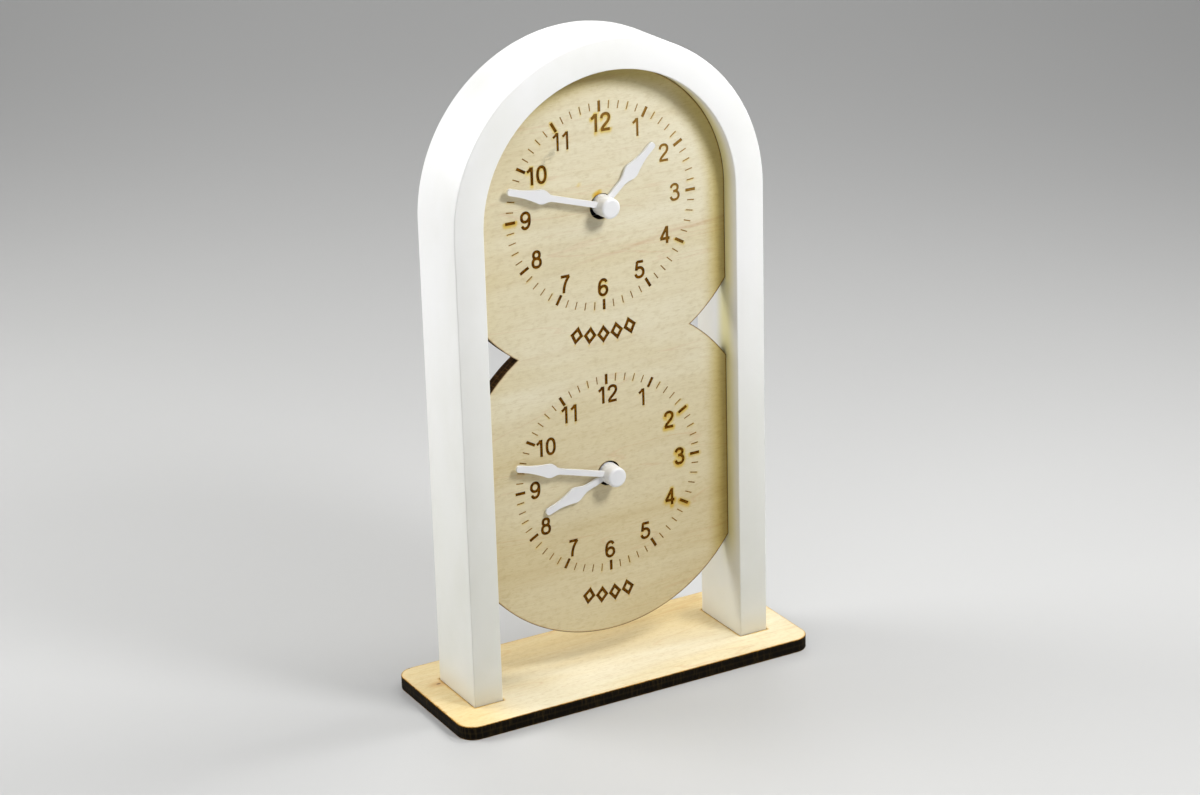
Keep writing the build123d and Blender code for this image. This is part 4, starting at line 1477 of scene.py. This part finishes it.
@dataclass
class Hands:
    """Both hands of one dial and the cap over them."""

    name: str
    across: float
    up: float
    minute_angle: float
    hour_angle: float
    thickness: float = 1.2
    hub_radius: float = 4.7
    bevel: float = 0.32
    cap_radius: float = 4.6
    cap_front: float = -16.0
    cap_back: float = -11.1
    cap_inset: float = 2.6
    cap_dish: float = 0.05
    cap_round: float = 1.25
    cap_bore: Place = (-12.6, 1.62, 3.1)
    enamel: Finish = FINISHES["white_plastic"]

    def hand(self, kind: str, blade: Blade, angle: float) -> None:
        """One hand, drawn out station by station and turned to its angle.

        Args:
            kind: Which hand it is.
            blade: Its sizes.
            angle: Where it points, in degrees clockwise from twelve.
        """
        front, deep = blade.front, blade.hub_back - blade.front
        reach, width = blade.stations[1]
        Workpiece.clear()
        upright = (math.pi / 2, 0, 0)
        bpy.ops.mesh.primitive_plane_add(size=1, location=mm(0, front, reach / 2), rotation=upright)
        hand = Workpiece(bpy.context.object, f"{self.name}_{kind}_blade").settle((width, reach, 1))
        with hand:
            for far, wide in blade.stations[2:]:
                top = hand.reach(lambda spot: spot.z) - 0.01 * MM
                hand.pick("EDGE", lambda edge: min(end.co.z for end in edge.verts) > top)
                hand.extrude(0, 0, far - reach)
                bpy.ops.transform.resize(value=(wide / width, 1, 1), center_override=mm(0, front, far))
                reach, width = far, wide
            for (far, _), radius in zip(blade.stations[1:], blade.corners):
                hand.pick("VERT", lambda vertex: abs(vertex.co.z - far * MM) < 0.02 * MM)
                hand.round_off(radius, 6, affect="VERTICES", clamp_overlap=True)
            bpy.ops.mesh.select_mode(type="FACE")
            bpy.ops.mesh.select_all(action="SELECT")
            bpy.ops.mesh.dissolve_faces()
            hand.extrude(0, self.thickness, 0)
        hand.tidy()
        hub = (0, (front + blade.hub_back) / 2, 0)
        hand.carve(Workpiece.rod("hub", hub, self.hub_radius, deep, 128), "UNION")
        hand.carve(Workpiece.rod("bore", hub, blade.bore, 3 * deep, 64))
        with hand:
            hand.pick("EDGE", lambda edge: len(edge.link_faces) == 2 and edge.calc_face_angle(0) > 1.0
                      and min(end.co.xz.length for end in edge.verts) > (blade.bore + 0.2) * MM)
            hand.round_off(self.bevel, 4, clamp_overlap=True)
        hand.tidy().move(turned(angle, self.across, 0, self.up)).coat(self.enamel).smooth(35)
        hand.deliver(f"{self.name}_{kind}", f"{self.name}_{kind}_hand", "white_plastic")

    def cap(self) -> None:
        """Round cap with a soft front edge and a blind hole."""
        front, back = self.cap_front, self.cap_back
        middle = (0, (back + front) / 2, 0)
        cap = Workpiece.rod(f"{self.name}_cap", middle, self.cap_radius, back - front, 128)
        with cap:
            cap.pick("FACE", lambda face: face.normal.y < -0.9)
            cap.step_in(self.cap_inset, 0, self.cap_dish)
            cap.pick("EDGE", lambda edge: edge.calc_face_angle(0) > 0.8
                     and max(end.co.y for end in edge.verts) < (front + 1) * MM)
            cap.round_off(self.cap_round, 8)
        cap.carve(Workpiece.rod("bore", (0, self.cap_bore[0], 0), *self.cap_bore[1:], 48))
        cap.tidy().move(turned(0, self.across, 0, self.up)).coat(self.enamel).smooth(35)
        cap.deliver(f"{self.name}_minute", f"{self.name}_hub_cap", "white_plastic")

    def build(self) -> None:
        """Both hands and the cap, handed over."""
        self.hand("hour", HOUR_BLADE, self.hour_angle)
        self.hand("minute", MINUTE_BLADE, self.minute_angle)
        self.cap()


# Movements -------------------------------------------------------------------


@dataclass
class Movement:
    """One quartz movement: its shells with soft edges, its cell and its knob."""

    name: str
    soft_edge: float = 0.3
    knob_radius: float = 3.98
    knob_span: Point = (16.75, 2.0)
    flutes: int = 24
    flute: Point = (0.03, 0.18)
    knob_dish: Point = (0.9, 0.25)
    stem: Place = (14.85, 1.38, 2.4)
    stem_bore: Place = (15.0, 0.64, 3.4)
    cell_radius: float = 7.08
    nub: Point = (0.45, 1.3)
    shoulder: Point = (0.9, 0.35)
    seal: float = 3.0
    cell_foot: Place = (1.0, 1.2, 0.3)
    shell: Finish = FINISHES["black_plastic"]
    wrap: Finish = FINISHES["battery_wrap"]

    def build(self) -> None:
        """The pieces that show from behind, handed over."""
        for part in ("movement_case", "movement_cover"):
            node = f"{self.name}_{part}"
            shell = Workpiece.copy_of(node, f"{node}_shell").soften(self.soft_edge)
            shell.coat(self.shell).smooth(30).deliver("stand", node, "black_plastic")
        self.knob()
        self.cell()

    def knob(self) -> None:
        """Setting knob with a fluted rim."""
        node = f"{self.name}_setting_knob"
        low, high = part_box(node)
        middle = (low + high) / 2 / MM
        place, thick = self.knob_span
        sides = 4 * self.flutes
        name = f"{self.name}_fluted_knob"
        knob = Workpiece.rod(name, (middle.x, place, middle.z), self.knob_radius, thick, sides)
        with knob:
            knob.pick("FACE", lambda face: abs(face.normal.y) < 0.5
                      and round(math.atan2(face.normal.z, face.normal.x) / math.tau * sides) % 4 < 2)
            bpy.ops.mesh.inset(thickness=self.flute[0] * MM, depth=-self.flute[1] * MM)
        with knob:
            knob.pick("FACE", lambda face: face.normal.y > 0.9)
            knob.step_in(self.knob_dish[0], 0, -self.knob_dish[1])
        knob.carve(Workpiece.rod("stem", (middle.x, self.stem[0], middle.z), *self.stem[1:], 48), "UNION")
        knob.carve(Workpiece.rod("bore", (middle.x, self.stem_bore[0], middle.z), *self.stem_bore[1:], 32))
        knob.tidy().coat(self.shell).smooth(30).deliver(f"{self.name}_setting", node, "black_plastic")

    def cell(self) -> None:
        """Dry cell with a soft shoulder, a rolled edge and its nub."""
        node = f"{self.name}_battery"
        low, high = (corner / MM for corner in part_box(node))
        middle = (low + high) / 2
        nub_inset, nub = self.nub
        width, drop = self.shoulder
        edge, foot, rise = self.cell_foot
        length = high.x - low.x - nub
        centre = (low.x + length / 2, middle.y, middle.z)
        cell = Workpiece.rod(f"{self.name}_dry_cell", centre, self.cell_radius, length, 96, True)
        with cell:
            cell.pick("FACE", lambda face: face.normal.x > 0.9)
            cell.step_in(width, -drop, 0)
            cell.step_in(self.seal, drop, 0)
            bpy.ops.mesh.inset(thickness=nub_inset * MM)
            cell.extrude(nub, 0, 0)
        with cell:
            cell.pick("FACE", lambda face: face.normal.x < -0.9)
            cell.step_in(edge, rise, 0)
            cell.step_in(foot, -rise, 0)
        cell.soften(self.soft_edge).tidy().coat(self.wrap).smooth(30).deliver("stand", node, "battery_wrap")


def dress_frame() -> None:
    """Give each solid that still shows the finish of its slot."""
    slots = {entry["node"]: entry["material_slot"] for entry in frame["record"]["subparts"]}
    for name, node in frame["nodes"].items():
        if node.hide_render:
            continue
        finish = FINISHES[slots[name]]
        for place in node.material_slots:
            place.material = finish.make()
        log.info("%s dressed in %s", name, finish.name)


# Studio ----------------------------------------------------------------------


@dataclass(frozen=True)
class Lamp:
    """A soft light: where it hangs, what it looks at, its size and its power."""

    name: str
    place: Place
    target: Place
    size: float
    power: float


@dataclass
class Studio:
    """Floor, lights and the camera at the photograph's view."""

    lens: float = 92.04
    sensor: float = 36.0
    clip: Point = (0.05, 30.0)
    eye: Place = (-614.66, -1116.03, 611.23)
    yaw: float = -0.504
    pitch: float = -0.360
    roll: float = -0.028
    floor_radius: float = 2600.0
    sweep: float = 220.0
    sweep_steps: int = 9
    sky: str = "e8ebef"
    sky_strength: float = 0.05
    lamps: tuple[Lamp, ...] = (
        Lamp("key", (0.24, -0.45, 0.64), (0.0, 0.0, 0.19), 0.2, 3.7),
        Lamp("left_rear", (-0.60, 0.50, 0.60), (0.0, 0.0, 0.17), 0.55, 6.4),
        Lamp("left_side", (-0.80, 0.0, 0.28), (0.0, 0.0, 0.17), 0.3, 0.45),
        Lamp("left_front", (-0.80, -0.62, 0.50), (0.0, 0.0, 0.17), 0.6, 1.7),
        Lamp("top_right", (0.50, -0.05, 0.70), (0.0, 0.0, 0.17), 0.3, 3.6),
        Lamp("backdrop", (0.9, 1.9, 1.5), (0.9, 1.6, 0.0), 1.2, 12.0),
        Lamp("ceiling", (0.0, 0.0, 4.5), (0.0, 0.001, 0.0), 6.0, 72.0),
    )

    def floor(self) -> None:
        """Plain pale floor that sweeps up softly far from the clock."""
        Workpiece.clear()
        bpy.ops.mesh.primitive_circle_add(vertices=96, radius=self.floor_radius * MM, fill_type="NGON")
        floor = Workpiece(bpy.context.object, "floor")
        step = math.pi / 2 / self.sweep_steps
        with floor:
            for turn in range(self.sweep_steps):
                angle = (turn + 0.5) * step
                wider = 1 + self.sweep * MM * math.cos(angle) / floor.reach(lambda spot: spot.xy.length)
                floor.pick("EDGE", lambda edge: edge.is_boundary)
                floor.extrude(0, 0, self.sweep * math.sin(angle))
                bpy.ops.transform.resize(value=(wider, wider, 1), center_override=(0, 0, 0))
        floor.coat(StudioFloor("studio_floor")).smooth(40)

    def light(self) -> None:
        """Soft lamps and an even sky."""
        for lamp in self.lamps:
            data = bpy.data.lights.new(lamp.name, "AREA")
            data.shape = "DISK"
            data.size = lamp.size
            data.energy = lamp.power
            obj = bpy.data.objects.new(lamp.name, data)
            obj.location = lamp.place
            way = Vector(lamp.target) - Vector(lamp.place)
            obj.rotation_euler = way.to_track_quat("-Z", "Y").to_euler()
            bpy.context.scene.collection.objects.link(obj)
        world = bpy.data.worlds.new("studio")
        world.use_nodes = True
        sky = world.node_tree.nodes["Background"].inputs
        sky["Color"].default_value = tone(self.sky)
        sky["Strength"].default_value = self.sky_strength
        bpy.context.scene.world = world

    def camera(self) -> None:
        """Camera where the photograph was taken from."""
        level = math.cos(self.pitch)
        forward = Vector((-math.sin(self.yaw) * level, math.cos(self.yaw) * level, math.sin(self.pitch)))
        right = forward.cross(Vector((0, 0, 1))).normalized()
        up = right.cross(forward)
        side = right * math.cos(self.roll) + up * math.sin(self.roll)
        top = up * math.cos(self.roll) - right * math.sin(self.roll)
        data = bpy.data.cameras.new("camera")
        data.lens, data.sensor_width, data.sensor_fit = self.lens, self.sensor, "HORIZONTAL"
        data.clip_start, data.clip_end = self.clip
        camera = bpy.data.objects.new("camera", data)
        turn = Matrix((side, top, -forward)).transposed().to_4x4()
        camera.matrix_world = Matrix.Translation(mm(*self.eye)) @ turn
        bpy.context.scene.collection.objects.link(camera)
        bpy.context.scene.camera = camera
        bpy.context.scene.view_settings.view_transform = "Standard"

    def build(self) -> None:
        """Floor, lights and camera."""
        self.floor()
        self.light()
        self.camera()


def main() -> None:
    """Build every piece in order."""
    logging.basicConfig(level=logging.INFO, format="%(message)s")
    Studio().build()
    stand = Stand()
    stand.base()
    stand.arch()
    DialPanel().build()
    for hands in (Hands("upper", 0.3, 222.95, 287.0, 47.2), Hands("lower", 0.0, 98.45, 285.4, 250.3)):
        hands.build()
        Movement(hands.name).build()
    dress_frame()
    Workpiece.clear()


if __name__ == "__main__":
    main()
